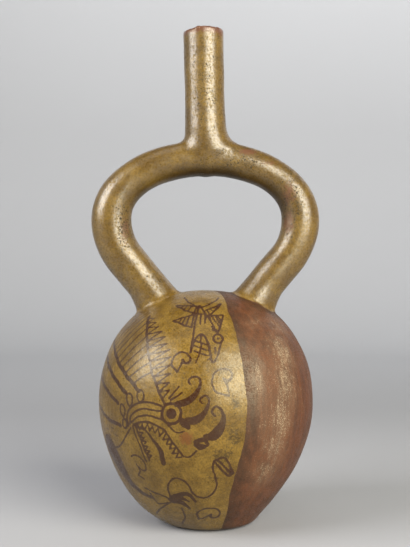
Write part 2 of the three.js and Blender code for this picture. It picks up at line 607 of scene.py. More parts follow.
@dataclass(frozen=True)
class Wall:
    """Turns places on the body's wall into true distances along it."""

    body: BodyForm

    def climb(self, height: np.ndarray | float) -> np.ndarray:
        """Length along the wall from the underside up to a height.

        Args:
            height: where, in millimetres above the underside.

        Returns:
            The length, in millimetres.
        """
        heights = np.linspace(0, self.body.crown - 0.5, 400)
        radii = self.body.radius_at(heights)
        steps = np.hypot(np.diff(heights), np.diff(radii))
        return np.interp(height, heights, np.concatenate(([0], np.cumsum(steps))))

    def places(self, points: np.ndarray) -> tuple[np.ndarray, np.ndarray, np.ndarray]:
        """Reads points of the wall.

        Args:
            points: points near the wall, in millimetres.

        Returns:
            Distance round the widest ring from the front, length along the wall, and how much shorter a
            step round the wall is there than round the widest ring.
        """
        x = points[:, 0] - self.body.offset_at(points[:, 2])
        around = np.arctan2(x, -points[:, 1]) * self.body.radius
        squeeze = np.hypot(x, points[:, 1]) / self.body.radius
        return around, self.climb(points[:, 2]), np.maximum(squeeze, 0.05)

    def drawn(self, local: np.ndarray, around: float, height: float) -> tuple[Point, ...]:
        """Places true millimetres, drawn about a spot, on the wall without stretching them.

        Args:
            local: points about the spot.
            around: the spot, round the widest ring.
            height: the spot, above the underside.

        Returns:
            The points as wall places.
        """
        squeeze = float(self.body.radius_at(height)) / self.body.radius
        slope = float(self.climb(height + 1) - self.climb(height - 1)) / 2
        return tuple((around + x / squeeze, height + y / slope) for x, y in local)


def turned_round(local: list[Point], degrees: float, size: float, mirrored: bool = False) -> np.ndarray:
    """Turns, sizes and mirrors a drawing about its own middle.

    Args:
        local: points about the middle.
        degrees: how far it is turned.
        size: how much it is enlarged.
        mirrored: whether it is mirrored first.

    Returns:
        The points as rows.
    """
    angle = math.radians(degrees)
    points = np.array(local, float) * size
    if mirrored:
        points[:, 0] *= -1
    turn = np.array(((math.cos(angle), math.sin(angle)), (-math.sin(angle), math.cos(angle))))
    return points @ turn


@dataclass
class Painting:
    """The fine-line painting: a crested beast, a small beast above it, volutes, a serpent and a paw."""

    wall: Wall
    strokes: list[Stroke] = field(default_factory=list)
    fine: float = 0.8

    def line(self, *points: Point, widths: tuple[float, ...] | None = None, curved: bool = True) -> None:
        """Adds one line in wall places."""
        self.strokes.append(Stroke(points, widths or (self.fine,), curved))

    def motif(
        self,
        local: list[Point],
        at: Point,
        turn: float = 0.0,
        size: float = 1.0,
        widths: tuple[float, ...] | None = None,
        mirrored: bool = False,
        closed: bool = False,
        curved: bool = True,
    ) -> None:
        """Adds one line that is drawn in true millimetres about a spot.

        Args:
            local: its points about the spot.
            at: the spot on the wall.
            turn: how far it is turned, in degrees.
            size: how much it is enlarged.
            widths: the paint's width along it.
            mirrored: whether it is mirrored first.
            closed: whether it runs back to its start.
            curved: whether it runs smoothly through its points.
        """
        points = self.wall.drawn(turned_round(local, turn, size, mirrored), *at)
        self.strokes.append(Stroke(points, widths or (self.fine,), curved, closed))

    def ring(self, at: Point, across: float, tall: float, turn: float = 0.0, width: float = 0.9) -> None:
        """Adds an oval ring.

        Args:
            at: the spot on the wall.
            across: half its width.
            tall: half its height.
            turn: how far it is turned, in degrees.
            width: how wide the paint is.
        """
        angles = [index * math.tau / 12 for index in range(12)]
        oval = [(across * math.cos(a), tall * math.sin(a)) for a in angles]
        self.motif(oval, at, turn, widths=(width,), closed=True)

    def dot(self, at: Point, width: float) -> None:
        """Adds a filled round spot."""
        self.strokes.append(Stroke((at,), (width,)))

    def volute(self, at: Point, size: float, turn: float = 0.0, mirrored: bool = False) -> None:
        """Adds an open comma with a curled head; its point hangs down until it is turned.

        Args:
            at: the spot on the wall.
            size: how large it is.
            turn: how far it is turned, in degrees.
            mirrored: whether it is mirrored first.
        """
        curl = [(0.5, 0.7), (1.8, -0.5), (4.0, 0.3), (4.4, 3.2), (1.2, 5.3), (-3.2, 4.4)]
        back = [(-5.3, 0.6), (-4.4, -4.3), (0.6, -7.3)]
        self.motif(curl + back, at, turn, size, (1.5, 1.0, 0.9, 0.9, 1.0), mirrored)
        self.motif([(0.6, -7.3), (0.9, -3.4), (0.5, 0.7)], at, turn, size, (0.8, 0.8, 1.1), mirrored)

    def teeth(self, start: Point, end: Point, count: int, depth: float, bow: float = 0.0) -> None:
        """Adds a row of pointed teeth.

        Args:
            start: where the row begins.
            end: where it ends.
            count: how many teeth it has.
            depth: how far they stand off the gum, to the left when positive.
            bow: how far the gum bulges, towards the teeth when positive.
        """
        first, last = np.array(start), np.array(end)
        off = np.array((-(last - first)[1], (last - first)[0])) / np.linalg.norm(last - first)
        points = []
        for index in range(2 * count + 1):
            share = index / (2 * count)
            stand = bow * 4 * share * (1 - share) + (depth if index % 2 else 0)
            points.append(tuple(first + (last - first) * share + off * stand))
        self.line(*points, widths=(0.7,), curved=False)

    def crest(self) -> None:
        """Paints the hatched crest, its thick border and the toothed fringe on its spine."""
        border = [(-104, 109), (-86, 103.5), (-69, 98), (-57.5, 92), (-47, 86), (-37.5, 79.8)]
        spine = [(-53, 117.5), (-44, 110), (-38.5, 103), (-34, 96), (-31, 90.5), (-26.5, 82.5), (-22, 74.5)]
        self.line(*border, widths=(1.3, 1.5, 1.8, 2.0, 2.1, 1.9))
        self.line(*spine, widths=(1.7, 1.4, 1.2, 1.2, 1.3))
        low = Stroke(tuple(border), curved=True).samples(0.6)[0]
        high = Stroke(tuple(spine), curved=True).samples(0.6)[0]
        brow = Stroke(((-80, 123.5), (-66, 121), *spine), curved=True).samples(0.6)[0]
        count = 15
        for index in range(count):
            share = index / count
            a = low[int((0.06 + 0.92 * share) * (len(low) - 1))]
            b = brow[int(0.86 * share**1.2 * (len(brow) - 1))]
            middle = (a + b) / 2 + (0.6, 0.9)
            self.line(tuple(a), tuple(middle), tuple(b), widths=(0.75, 0.9, 0.75))
        tips = []
        for index in range(25):
            share = index / 24
            root = high[int((0.03 + 0.93 * share) * (len(high) - 1))]
            reach = (4.5 + 8.0 * math.sin(math.pi * share) ** 1.4) if index % 2 else 0.0
            tips.append(tuple(root + (reach, reach * (0.22 + 0.3 * share))))
        self.line(*tips, widths=(0.7,), curved=False)

    def plumes(self) -> None:
        """Paints the thick plume lines that sweep back from the beads behind the head."""
        self.line((-112, 99), (-86, 95), (-69, 89.5), (-57, 83.5), (-47, 78), widths=(1.2, 1.7, 2.2, 2.0))
        self.line((-112, 84), (-92, 85), (-79, 82), (-66.5, 77.5), (-53, 72), widths=(1.1, 1.6, 2.1, 1.8))
        self.line((-112, 69), (-95, 70.5), (-80, 67), (-65, 62.5), (-51.5, 60.5), widths=(1.1, 1.5, 2.1, 2.0))
        self.ring((-36.5, 77.5), 2.3, 3.2, 8)
        self.ring((-43.9, 74.9), 2.2, 3.4, 12)
        self.ring((-49.2, 68.9), 2.0, 3.3, 14)
        self.ring((-47.9, 61.9), 1.9, 2.5, 0, 1.0)

    def head(self) -> None:
        """Paints the head bands, the eye, the jaws with their teeth and the long tongue."""
        self.line((-45, 61), (-45.6, 67), (-41, 72), (-32.5, 74.6), (-23.4, 73), widths=(1.0,))
        self.line((-44, 62), (-42.4, 66.8), (-35, 70.8), (-23, 70.3), widths=(0.9,))
        self.line((-42.8, 63), (-37.5, 66.6), (-30.6, 67.6), (-23.5, 66.2), (-19.5, 63.2), widths=(0.9,))
        self.ring((-18, 69.4), 5.2, 5.2, 0, 1.35)
        self.dot((-18, 69.4), 5.4)
        self.line((-19.5, 63.2), (-15.5, 59.8), (-11, 60.8), widths=(0.8, 0.7))
        snout = [(-41.5, 61.8), (-35.5, 64), (-28.8, 63.8), (-22.5, 61), (-18.8, 56.5), (-15.2, 51)]
        self.line(*snout, (-12, 47.6), (-8.6, 47.3), (-5.2, 50.4), widths=(1.1, 1.0, 0.9, 0.8))
        self.teeth((-38.4, 62.6), (-22.6, 59.8), 5, -3.2, 1.6)
        self.teeth((-21.4, 58.6), (-13.2, 46.9), 5, -3.0, 0.0)
        self.line((-42, 61), (-35.4, 42.8), widths=(0.9,))
        self.line((-39.6, 61.2), (-33.2, 43.6), widths=(1.1, 0.9))
        self.teeth((-38.6, 58.4), (-33.6, 44.4), 6, 3.2)
        tongue = [(-40, 62), (-33.2, 59.4), (-28, 54), (-24.8, 48.4), (-24.2, 43)]
        self.line(*tongue, widths=(1.2, 1.0, 1.1, 1.8, 2.8, 2.6))
        self.line((-4.2, 52.8), (-1, 53.4), widths=(2.6, 1.6))

    def horns(self) -> None:
        """Paints the three filled horns on the brow and the two dark lozenges between them."""
        first = [(-15.2, 74.3), (-9.4, 76.0), (-5.2, 79.8), (-3.0, 84.2), (-3.9, 87.6), (-7.0, 88.2)]
        self.line(*first, (-9.2, 86.2), (-8.0, 84.2), widths=(2.8, 3.5, 3.4, 2.3, 1.3, 1.0, 0.9, 0.9))
        second = [(-9.8, 66.2), (-5.2, 66.6), (-1.4, 69.6), (1.1, 73.8), (1.5, 77.4), (-0.8, 78.8)]
        self.line(*second, (-3.2, 76.8), (-1.6, 75.0), widths=(2.9, 4.0, 3.4, 2.2, 1.3, 0.9, 0.9, 0.9))
        third = [(-0.6, 58.4), (3.3, 58.2), (6.9, 61.6), (8.8, 66.6), (8.0, 71.6), (5.0, 73.6)]
        self.line(*third, (2.8, 70.8), (4.6, 68.6), widths=(1.4, 5.2, 5.2, 3.2, 1.6, 1.0, 0.9, 1.1))
        self.line((-13.4, 67.4), (-11.6, 65.0), (-9.2, 62.6), widths=(1.4, 4.0, 2.2))
        self.line((-5.6, 55.2), (-1.2, 56.4), (1.4, 54.2), widths=(2.2, 2.4, 1.4))
        self.line((-5.8, 53.6), (-3.2, 51.6), (1.4, 53.8), widths=(1.6, 1.4, 1.2))
        self.line((-18.6, 76.2), (-14.6, 78.6), (-12.2, 80.4), widths=(0.9, 0.7))
        self.line((-19.4, 77.2), (-14.0, 83.4), widths=(0.9, 0.7))

    def small_beast(self) -> None:
        """Paints the small beast's head that hangs below a star of hatched triangles."""
        self.line((-7.2, 123.5), (-8.2, 112), (-8.7, 100.4), widths=(0.9, 0.9, 1.3))
        self.line((-6.2, 123.5), (1.6, 118), (8, 109.6), widths=(0.9,), curved=False)
        self.ring((7.7, 107), 2.5, 2.6, 0, 1.0)
        self.dot((7.7, 107), 1.4)
        jaw = [(9.4, 105), (6.9, 99), (3.9, 95.2), (2.5, 100), (0.2, 107), (-3.2, 109.3), (-7, 106.4)]
        self.line(*jaw, (-8.6, 100.6), widths=(0.9, 0.9, 1.3, 0.9, 0.8))
        self.line((-3.4, 109), (-3.0, 103), (-5.4, 95.4), widths=(0.8, 0.7))
        for height in (106.2, 103.6, 101.0):
            self.line((-6.9, height), (-4.6, height - 1.1), widths=(0.8,))
            self.line((-2.4, height - 1.4), (0.6, height - 2.2), widths=(0.8,))
        for low, high in (((1.2, 98.6), (3.0, 98.9)), ((1.0, 96.6), (2.6, 97.2))):
            self.line(low, high, widths=(0.8,))
        self.line((4.4, 113.2), (5.2, 111), widths=(0.9,))
        self.line((5.6, 102.6), (5.2, 99.4), widths=(1.0, 0.8))
        self.star((-5.5, 122.2))

    def star(self, middle: Point) -> None:
        """Paints the star of triangles, hatched across, round the top of the small beast.

        Args:
            middle: the middle of the star on the wall.
        """
        rays = (
            ((-33.0, 123.4), (-9.6, 123.2), (-10.2, 119.4)),
            ((-26.0, 115.6), (-10.0, 119.2), (-10.2, 112.4)),
            ((14.4, 118.5), (1.8, 118.6), (7.9, 109.8)),
            ((16.6, 124.4), (0.4, 121.2), (3.2, 118.8)),
        )
        for tip, upper, lower in rays:
            self.line(upper, tip, lower, widths=(0.9,), curved=False)
            self.line(upper, lower, widths=(0.8,), curved=False)
            for share in (0.22, 0.42, 0.6):
                a = tuple(u + (t - u) * share for u, t in zip(upper, tip))
                b = tuple(u + (t - u) * (share + 0.06) for u, t in zip(lower, tip))
                self.line(a, b, widths=(0.7,))
        self.line((-34, 127.6), middle, (18, 127.2), widths=(0.9,), curved=False)
        self.line((-8.2, 119.6), (1.4, 118.6), widths=(0.8,))
        self.line((-4.6, 119), (-3.8, 114), widths=(0.9, 0.7))
        self.line((-0.6, 118.6), (-0.8, 114.6), widths=(0.9, 0.7))

    def fillers(self) -> None:
        """Paints the open volutes that fill the ground."""
        self.volute((-13.8, 95.9), 0.88, -22)
        self.volute((9.3, 86.2), 1.12, 14)
        self.volute((4.6, 13.2), 1.04, -58)
        self.motif(
            [(-4.4, 3.0), (-1.2, 4.6), (2.6, 3.4), (5.2, -0.2), (4.6, -3.6), (1.4, -4.0), (-1.4, -1.0)],
            (-42.4, 41.2),
        )
        self.motif([(-1.4, -1.0), (0.2, -5.0), (-2.2, -7.4), (1.6, -9.6)], (-42.4, 41.2), curved=False)

    def paw_and_serpent(self) -> None:
        """Paints the dark paw with its legs, and the serpent that rises from it to a leaf-shaped head."""
        pad = [(-24.6, 21.6), (-19.6, 23.6), (-13.4, 26), (-8.6, 24.6), (-5.8, 21.4)]
        self.line(*pad, widths=(2.2, 4.6, 2.8, 2.2, 1.2))
        self.line((-22.4, 20.8), (-16.4, 20.6), (-10.6, 17), widths=(2.6, 3.0, 1.2))
        self.line((-21.0, 22.0), (-15.4, 23.0), (-10.4, 21.4), widths=(2.6, 2.2, 1.0))
        self.line((-43, 26.6), (-24.4, 22.6), widths=(0.9,))
        self.line((-40, 24.4), (-37, 17.8), (-25.2, 19.8), widths=(0.9,), curved=False)
        self.line((-25.2, 19.8), (-47.5, 10.2), widths=(0.9,))
        self.line((-17, 17), (-16.6, 10.6), (-25, 5.2), widths=(0.9,))
        coil = [(-24, 23.4), (-23.6, 30), (-19.8, 34.4), (-14.8, 34.8), (-10.8, 31.8), (-6.8, 26.2)]
        rising = [(-1.2, 23.8), (4.6, 25.8), (7.3, 31), (5.7, 36.8), (3.8, 40.8), (4.7, 45.2)]
        self.line(*coil, *rising, widths=(0.9,))
        self.line((4.7, 45.2), (9.6, 46.6), (13.2, 43.4), (16.0, 37.6), widths=(0.9, 0.9, 1.5))
        self.line((16.0, 37.6), (13.6, 36.8), (8.6, 40.4), (5.0, 45), widths=(1.2, 0.9))
        self.line((7.0, 44.8), (11.6, 41.0), (15.0, 37.8), widths=(0.8, 1.2))

    def collar(self) -> None:
        """Paints the collar's edge and the broad band that tapers down to the paw."""
        self.line((-43.4, 60.2), (-51.6, 51.8), (-58.6, 47.8), (-74, 45.2), (-90, 46.8), widths=(0.9,))
        band = [(-70, 45.6), (-64.5, 38.4), (-60.2, 31.4), (-54.6, 26), (-47.4, 22.9), (-38.6, 21)]
        self.line(*band, widths=(15.5, 12.5, 8.0, 4.4, 3.0, 1.8))
        for place in ((-68, 56.4), (-60, 57.6), (-66, 53.2), (-57, 54.4)):
            self.motif([(-1.6, 0.2), (1.6, -0.2)], place, widths=(0.6, 0.5))

    def far_side(self) -> None:
        """Paints the plainer far side of the cream half: the tail's plumes and a few volutes."""
        for height in (99, 84, 69):
            self.line((-112, height), (-128, height - 3), (-140, height - 9), widths=(1.1, 1.5, 2.0))
            self.ring((-142.5, height - 12), 2.0, 3.2, -20)
        self.line((-104, 109), (-124, 107), (-140, 99), widths=(1.3, 1.8, 1.9))
        self.volute((-118, 46), 1.2, -12)
        self.volute((-150, 60), 1.1, 10, mirrored=True)
        self.volute((-128, 22), 1.0, -50)
        self.volute((-96, 24), 0.9, -10)
        self.volute((-158, 100), 1.0, -10)

    def paint(self) -> None:
        """Paints everything, from the crown downwards."""
        self.small_beast()
        self.crest()
        self.plumes()
        self.head()
        self.horns()
        self.fillers()
        self.collar()
        self.paw_and_serpent()
        self.far_side()

    def distance(self, points: np.ndarray, reach: float = 4.0) -> np.ndarray:
        """Distance from each point of the wall to the nearest paint, below 0 inside it.

        Args:
            points: points of the wall, in millimetres.
            reach: beyond this far the answer is just this far.

        Returns:
            One distance a point, in millimetres.
        """
        around, climb, squeeze = self.wall.places(points)
        nearest = np.full(len(points), reach)
        for stroke in self.strokes:
            line, half = stroke.samples()
            path = np.stack((line[:, 0], self.wall.climb(line[:, 1])), axis=1)
            margin = reach + half.max()
            low, high = path.min(axis=0) - margin, path.max(axis=0) + margin
            stretch = margin / squeeze
            inside = (around > low[0] + margin - stretch) & (around < high[0] - margin + stretch)
            rows = np.flatnonzero(inside & (climb > low[1]) & (climb < high[1]))
            for part in np.array_split(rows, len(rows) // 3000 + 1):
                found = self.to_segments(around[part], climb[part], squeeze[part], path, half)
                nearest[part] = np.minimum(nearest[part], found)
        return nearest

    @staticmethod
    def to_segments(
        around: np.ndarray, climb: np.ndarray, squeeze: np.ndarray, path: np.ndarray, half: np.ndarray
    ) -> np.ndarray:
        """Distance from points to a chain of segments less the half width of the paint there.

        Args:
            around: distance round the widest ring.
            climb: length along the wall.
            squeeze: how much shorter a step round is there.
            path: the chain of points.
            half: half width of the paint at each.

        Returns:
            One distance a place.
        """
        start, run = path[:-1], np.diff(path, axis=0)
        run_x = run[None, :, 0] * squeeze[:, None]
        off_x = (around[:, None] - start[None, :, 0]) * squeeze[:, None]
        off_y = climb[:, None] - start[None, :, 1]
        length = run_x**2 + run[None, :, 1] ** 2 + 1e-9
        share = np.clip((off_x * run_x + off_y * run[None, :, 1]) / length, 0, 1)
        gap = np.hypot(off_x - share * run_x, off_y - share * run[None, :, 1])
        return (gap - (half[:-1][None] + share * np.diff(half)[None])).min(axis=1)


# ---------- slip, wear and stains ----------


@dataclass(frozen=True)
class Division:
    """The line where the cream slip meets the red, running from the foot over the crown and down again."""

    turn: float = math.radians(18.8)
    crown_shift: float = 5.5
    crown_from: float = 119.0
    crown: float = 131.0
    slip_overlap: float = 0.9
    drift: tuple[Point, ...] = (
        (0, -0.5),
        (12, -1.6),
        (25, -3.0),
        (36, -2.6),
        (48, -0.6),
        (60, 0.9),
        (72, 1.5),
        (84, 1.0),
        (98, 0.3),
        (116, 0.2),
        (123, -0.4),
        (129, -1.8),
    )

    def distance(self, points: np.ndarray, handle: np.ndarray) -> np.ndarray:
        """Distance into the red slip, below 0 in the cream; the stirrup and spout are cream all over.

        Args:
            points: places, in millimetres.
            handle: distance outside the handle at each place.

        Returns:
            One distance a place.
        """
        side = points[:, 0] * math.cos(self.turn) + points[:, 1] * math.sin(self.turn)
        shift = self.crown_shift * smooth_step(points[:, 2], self.crown_from, self.crown)
        height = points[:, 2]
        waver = 0.14 * np.sin(height * 0.31) + 0.08 * np.sin(height * 0.9)
        sway = waver - np.interp(height, *zip(*self.drift))
        edge = 0.5 * np.sin(points[:, 0] * 0.35 + 1.0) * np.cos(points[:, 1] * 0.28)
        return np.minimum(side - shift + sway, handle - self.slip_overlap + edge)


@dataclass(frozen=True)
class Patch:
    """A soft-edged place on the surface, stretched along each axis."""

    middle: tuple[float, float, float]
    reach: tuple[float, float, float]
    strength: float = 1.0

    def cover(self, points: np.ndarray) -> np.ndarray:
        """How strongly the patch covers each point."""
        away = (points - np.array(self.middle)) / np.array(self.reach)
        return self.strength * np.exp(-(away**2).sum(axis=1))


def covered(patches: tuple[Patch, ...], points: np.ndarray) -> np.ndarray:
    """The strongest cover of several patches at each point."""
    return np.max([patch.cover(points) for patch in patches], axis=0)


@dataclass(frozen=True)
class Wear:
    """Where the bottle is rubbed, sooted and darkened as painted shade, stained, smoked, pitted, and filmed
    over with some painted sheen.
    """

    rubbed: tuple[Patch, ...] = (
        Patch((23, -5, 209), (7, 7, 3), 1.2),
        Patch((36, -8, 203), (9, 7, 4), 0.75),
        Patch((47, -7, 186), (7, 8, 12), 0.9),
        Patch((46, -8, 170), (5, 7, 10), 1.0),
        Patch((57, -8, 178), (5, 8, 16), 0.55),
        Patch((-46, -7, 164), (4, 7, 15), 0.9),
        Patch((-40, -7, 186), (8, 7, 5), 0.5),
        Patch((9, -8, 276), (3, 5, 3.5), 0.85),
        Patch((-6, -9, 278.5), (6, 6, 3), 1.3),
        Patch((9, -8, 250), (2.5, 6, 12), 0.3),
        Patch((-22, -34, 122), (9, 12, 5), 0.55),
        Patch((45, 8, 172), (8, 9, 20), 0.7),
        Patch((-48, 8, 172), (8, 9, 20), 0.7),
    )
    # soot, and painted shade where the arch's underside faces its loop
    sooted_and_shaded: tuple[Patch, ...] = (
        Patch((4, 0, 196), (34, 30, 12), 1.0),
        Patch((40, 0, 186), (16, 30, 18), 0.85),
        Patch((-38, 0, 186), (16, 30, 14), 0.6),
        Patch((-46, 0, 166), (10, 30, 14), 0.4),
    )
    loop_middle: tuple[float, float, float] = (0.0, 0.0, 166.0)
    pitted: tuple[Patch, ...] = (
        Patch((0, -10, 246), (12, 14, 38), 0.72),
        Patch((20, -8, 206), (22, 12, 10), 0.8),
        Patch((48, -8, 182), (10, 12, 26), 1.0),
        Patch((-46, -8, 168), (7, 12, 22), 1.0),
        Patch((-26, -12, 140), (8, 12, 12), 0.8),
        Patch((0, 10, 230), (40, 14, 60), 0.6),
    )
    # pale mineral bloom; the patches beside the division also stand for the lamp's sheen, a painted sheen
    bloom: tuple[Patch, ...] = (
        Patch((41, -36, 99), (8, 9, 16), 1.05),
        Patch((41, -41, 82), (8, 9, 16), 1.05),
        Patch((39, -46, 66), (8, 9, 16), 1.0),
        Patch((37, -47, 50), (8, 9, 14), 0.9),
        Patch((32, -44, 36), (8, 9, 12), 0.7),
        Patch((27, -34, 115), (8, 10, 4), 0.5),
        Patch((40, -24, 112), (9, 12, 8), 0.6),
        Patch((27, -52, 84), (4, 8, 16), 0.75),
        Patch((31, -52, 60), (4, 8, 16), 0.55),
        Patch((30, 44, 84), (16, 12, 20), 0.6),
    )
    stain: tuple[Patch, ...] = (
        Patch((-10, -60, 57), (4.6, 20, 5.2), 1.0),
        Patch((-6.5, -60, 52), (3.4, 20, 3.6), 0.6),
        Patch((-27, -55, 63), (5, 20, 3), 0.35),
        Patch((-38, -30, 112), (8, 14, 5), 0.35),
    )
    smoke: tuple[Patch, ...] = (
        Patch((14, -58, 58), (7, 12, 9), 1.0),
        Patch((8, -58, 47), (10, 12, 9), 1.0),
        Patch((4, -58, 34), (11, 12, 8), 0.95),
        Patch((10, -55, 90), (9, 12, 10), 0.85),
        Patch((15, -58, 74), (6, 12, 12), 0.85),
        Patch((-12, -58, 38), (12, 12, 9), 0.75),
        Patch((-12, -54, 90), (11, 12, 10), 0.65),
        Patch((8, -40, 110), (10, 12, 10), 0.4),
        Patch((-34, -46, 60), (14, 12, 14), 0.45),
        Patch((-20, -50, 20), (24, 16, 14), 0.7),
        Patch((-30, 50, 70), (26, 16, 26), 0.7),
    )

    def soot(self, points: np.ndarray, outward: np.ndarray) -> np.ndarray:
        """Soot, with painted shade, on the side of the stirrup that faces its loop.

        Args:
            points: places on the surface.
            outward: the direction away from the tube's middle at each.

        Returns:
            How sooted and shaded each place is, from 0 to 1.
        """
        inward = np.array(self.loop_middle) - points
        inward[:, 1] = 0
        inward /= np.maximum(np.linalg.norm(inward, axis=1), 1e-6)[:, None]
        facing = (outward * inward).sum(axis=1)
        return smooth_step(facing, -0.25, 1.0) * covered(self.sooted_and_shaded, points)

    def scratch(self, points: np.ndarray) -> np.ndarray:
        """Distance to the pale hairline that crosses the joint of the spout and the -X branch.

        Args:
            points: places, in millimetres.

        Returns:
            One distance a place.
        """
        path = np.array(((-12.8, 216.5), (-9.8, 213.0), (-6.6, 208.6), (-2.4, 203.6)))
        nearest = np.full(len(points), 5.0)
        for start, end in zip(path, path[1:]):
            run = end - start
            off = points[:, (0, 2)] - start
            share = np.clip(off @ run / (run @ run), 0, 1)
            nearest = np.minimum(nearest, np.linalg.norm(off - share[:, None] * run, axis=1))
        return np.where(points[:, 1] < 0, nearest, 5.0)


# ---------- the skin ----------


def read_points(mesh: BMesh) -> np.ndarray:
    """All vertices of a mesh as rows."""
    return np.array([vert.co[:] for vert in mesh.verts], float)


@dataclass
class BottleSkin:
    """Builds the bottle's closed mesh and the measures that its materials read."""

    form: BottleForm
    painting: Painting
    division: Division = field(default_factory=Division)
    wear: Wear = field(default_factory=Wear)
    grain: float = 1.5
    lining_grain: float = 3.0
    mouth_steps: int = 120

    def turned(self, outline: list[Point], steps: int) -> BMesh:
        """A closed shape turned round Z.

        Args:
            outline: radius and height of each point.
            steps: how many steps the turn has.

        Returns:
            The closed mesh.
        """
        mesh = spun(outline, steps)
        bmesh.ops.remove_doubles(mesh, verts=mesh.verts, dist=1e-3)
        bmesh.ops.recalc_face_normals(mesh, faces=mesh.faces)
        return mesh

    def bent_tube(self, inset: float, sides: int = 28) -> BMesh:
        """The stirrup as a closed tube, ring after ring along its centreline.

        Args:
            inset: how far inside the wall.
            sides: how many sides each ring has.

        Returns:
            The closed mesh.
        """
        stirrup = self.form.stirrup
        line = stirrup.centreline(3.0)
        radii = stirrup.radius_at(line) - inset
        runs = np.gradient(line, axis=0)
        mesh = bmesh.new()
        before: list[bmesh.types.BMEdge] = []
        last = len(line) - 1
        for index, ((x, z), radius, (run_x, run_z)) in enumerate(zip(line, radii, runs)):
            lie = Vector((run_x, 0, run_z)).to_track_quat("Z", "Y").to_matrix().to_4x4()
            ring = bmesh.ops.create_circle(
                mesh,
                cap_ends=index in (0, last),
                radius=radius,
                segments=sides,
                matrix=Matrix.Translation((x, 0, z)) @ lie,
            )
            own = set(ring["verts"])
            edges = [edge for edge in mesh.edges if set(edge.verts) <= own]
            if before:
                bmesh.ops.bridge_loops(mesh, edges=before + edges)
            before = edges
        bmesh.ops.recalc_face_normals(mesh, faces=mesh.faces)
        return mesh

    def plain_spout(self, narrower: float) -> BMesh:
        """The spout as a closed post that stands higher than its cut.

        Args:
            narrower: how far inside the wall it runs.

        Returns:
            The closed mesh.
        """
        spout = self.form.spout
        heights = np.linspace(spout.base, spout.cut + 8, 20)
        wall = [(float(spout.radius_at(z)) - narrower, float(z)) for z in heights]
        mesh = self.turned([(0.0, wall[0][1]), *wall, (0.0, wall[-1][1])], 48)
        for vert in mesh.verts:
            vert.co.x += float(spout.axis_at(vert.co.z))
        return mesh

    def fused(self, shapes: list[BMesh], grain: float) -> BMesh:
        """Luts several closed shapes into one skin of even facets.

        Args:
            shapes: the closed shapes.
            grain: the size of a facet.

        Returns:
            The joined mesh.
        """
        pile = bpy.data.meshes.new("pile")
        for shape in shapes:
            part = bpy.data.meshes.new("part")
            shape.to_mesh(part)
            shape.free()
            heap = bmesh.new()
            heap.from_mesh(pile)
            heap.from_mesh(part)
            heap.to_mesh(pile)
            heap.free()
            bpy.data.meshes.remove(part)
        holder = bpy.data.objects.new("pile", pile)
        bpy.context.scene.collection.objects.link(holder)
        remesh = holder.modifiers.new("lute", "REMESH")
        remesh.mode = "VOXEL"
        remesh.voxel_size = grain
        graph = bpy.context.evaluated_depsgraph_get()
        skin = bmesh.new()
        skin.from_mesh(holder.evaluated_get(graph).to_mesh())
        bpy.data.objects.remove(holder)
        bpy.data.meshes.remove(pile)
        return skin

    def settle(self, mesh: BMesh, surface: Surface, rounds: int = 4) -> None:
        """Moves every vertex onto the surface of a form.

        Args:
            mesh: the mesh to move.
            surface: a method of the form that gives distance and direction.
            rounds: how often the move is repeated.
        """
        points = read_points(mesh)
        for _ in range(rounds):
            value, slope = surface(points)
            steep = np.maximum((slope**2).sum(axis=1), 0.2)
            points -= slope * (value / steep)[:, None]
        for vert, place in zip(mesh.verts, points):
            vert.co = place

    def evened(self, mesh: BMesh, surface: Surface, times: int = 3) -> None:
        """Evens out the facets and settles them again.

        Args:
            mesh: the mesh.
            surface: a method of the form that gives distance and direction.
            times: how often it is smoothed.
        """
        for _ in range(times):
            bmesh.ops.smooth_vert(
                mesh, verts=mesh.verts, factor=0.5, use_axis_x=True, use_axis_y=True, use_axis_z=True
            )
        self.settle(mesh, surface)

    def open_at(self, mesh: BMesh, height: float) -> list[bmesh.types.BMEdge]:
        """Cuts a shell off above a height and returns the edges of the hole.

        Args:
            mesh: the mesh.
            height: where it is cut.

        Returns:
            The edges of the hole.
        """
        bmesh.ops.bisect_plane(
            mesh,
            geom=[*mesh.verts, *mesh.edges, *mesh.faces],
            dist=0.05,
            plane_co=(0, 0, height),
            plane_no=(0, 0, 1),
            clear_outer=True,
        )
        return [edge for edge in mesh.edges if edge.is_boundary]

    def refine(self, mesh: BMesh) -> None:
        """Halves the facets along painted edges and along the division.

        Args:
            mesh: the mesh.
        """
        middles = np.array([face.calc_center_median()[:] for face in mesh.faces])
        handle = self.form.parts(middles)[1][0]
        paint = self.painted(middles, handle)
        red = self.division.distance(middles, handle)
        near = (np.abs(paint) < 1.9) | (np.abs(red) < 1.0)
        mesh.faces.ensure_lookup_table()
        faces = [mesh.faces[index] for index in np.flatnonzero(near)]
        edges = list({edge for face in faces for edge in face.edges})
        bmesh.ops.subdivide_edges(mesh, edges=edges, cuts=1, use_grid_fill=True)

    def painted(self, points: np.ndarray, handle: np.ndarray) -> np.ndarray:
        """Distance to the paint, which stops short of the stirrup's legs."""
        return np.maximum(self.painting.distance(points), 1.4 - handle)

    def outer_shell(self) -> BMesh:
        """The whole outside below the cut in the spout.

        Returns:
            The mesh.
        """
        body = self.turned(self.form.body.outline(0.0, 60), 96)
        for vert in body.verts:
            vert.co.x += float(self.form.body.offset_at(vert.co.z))
        shell = self.fused([body, self.bent_tube(0.0), self.plain_spout(0.0)], self.grain)
        self.settle(shell, self.form.outside)
        self.evened(shell, self.form.outside)
        self.refine(shell)
        self.settle(shell, self.form.outside, 2)
        return shell

    def lining(self) -> BMesh:
        """The wall of the hollow below the cut, facing into it.

        Returns:
            The mesh.
        """
        form = self.form
        body = self.turned(form.body.outline(form.body.wall, 40), 64)
        tube = self.bent_tube(form.stirrup.wall, 20)
        spout = self.plain_spout(form.spout.waist_radius - form.spout.bore)
        shell = self.fused([body, tube, spout], self.lining_grain)
        self.settle(shell, form.inside)
        self.evened(shell, form.inside)
        bmesh.ops.reverse_faces(shell, faces=shell.faces)
        return shell

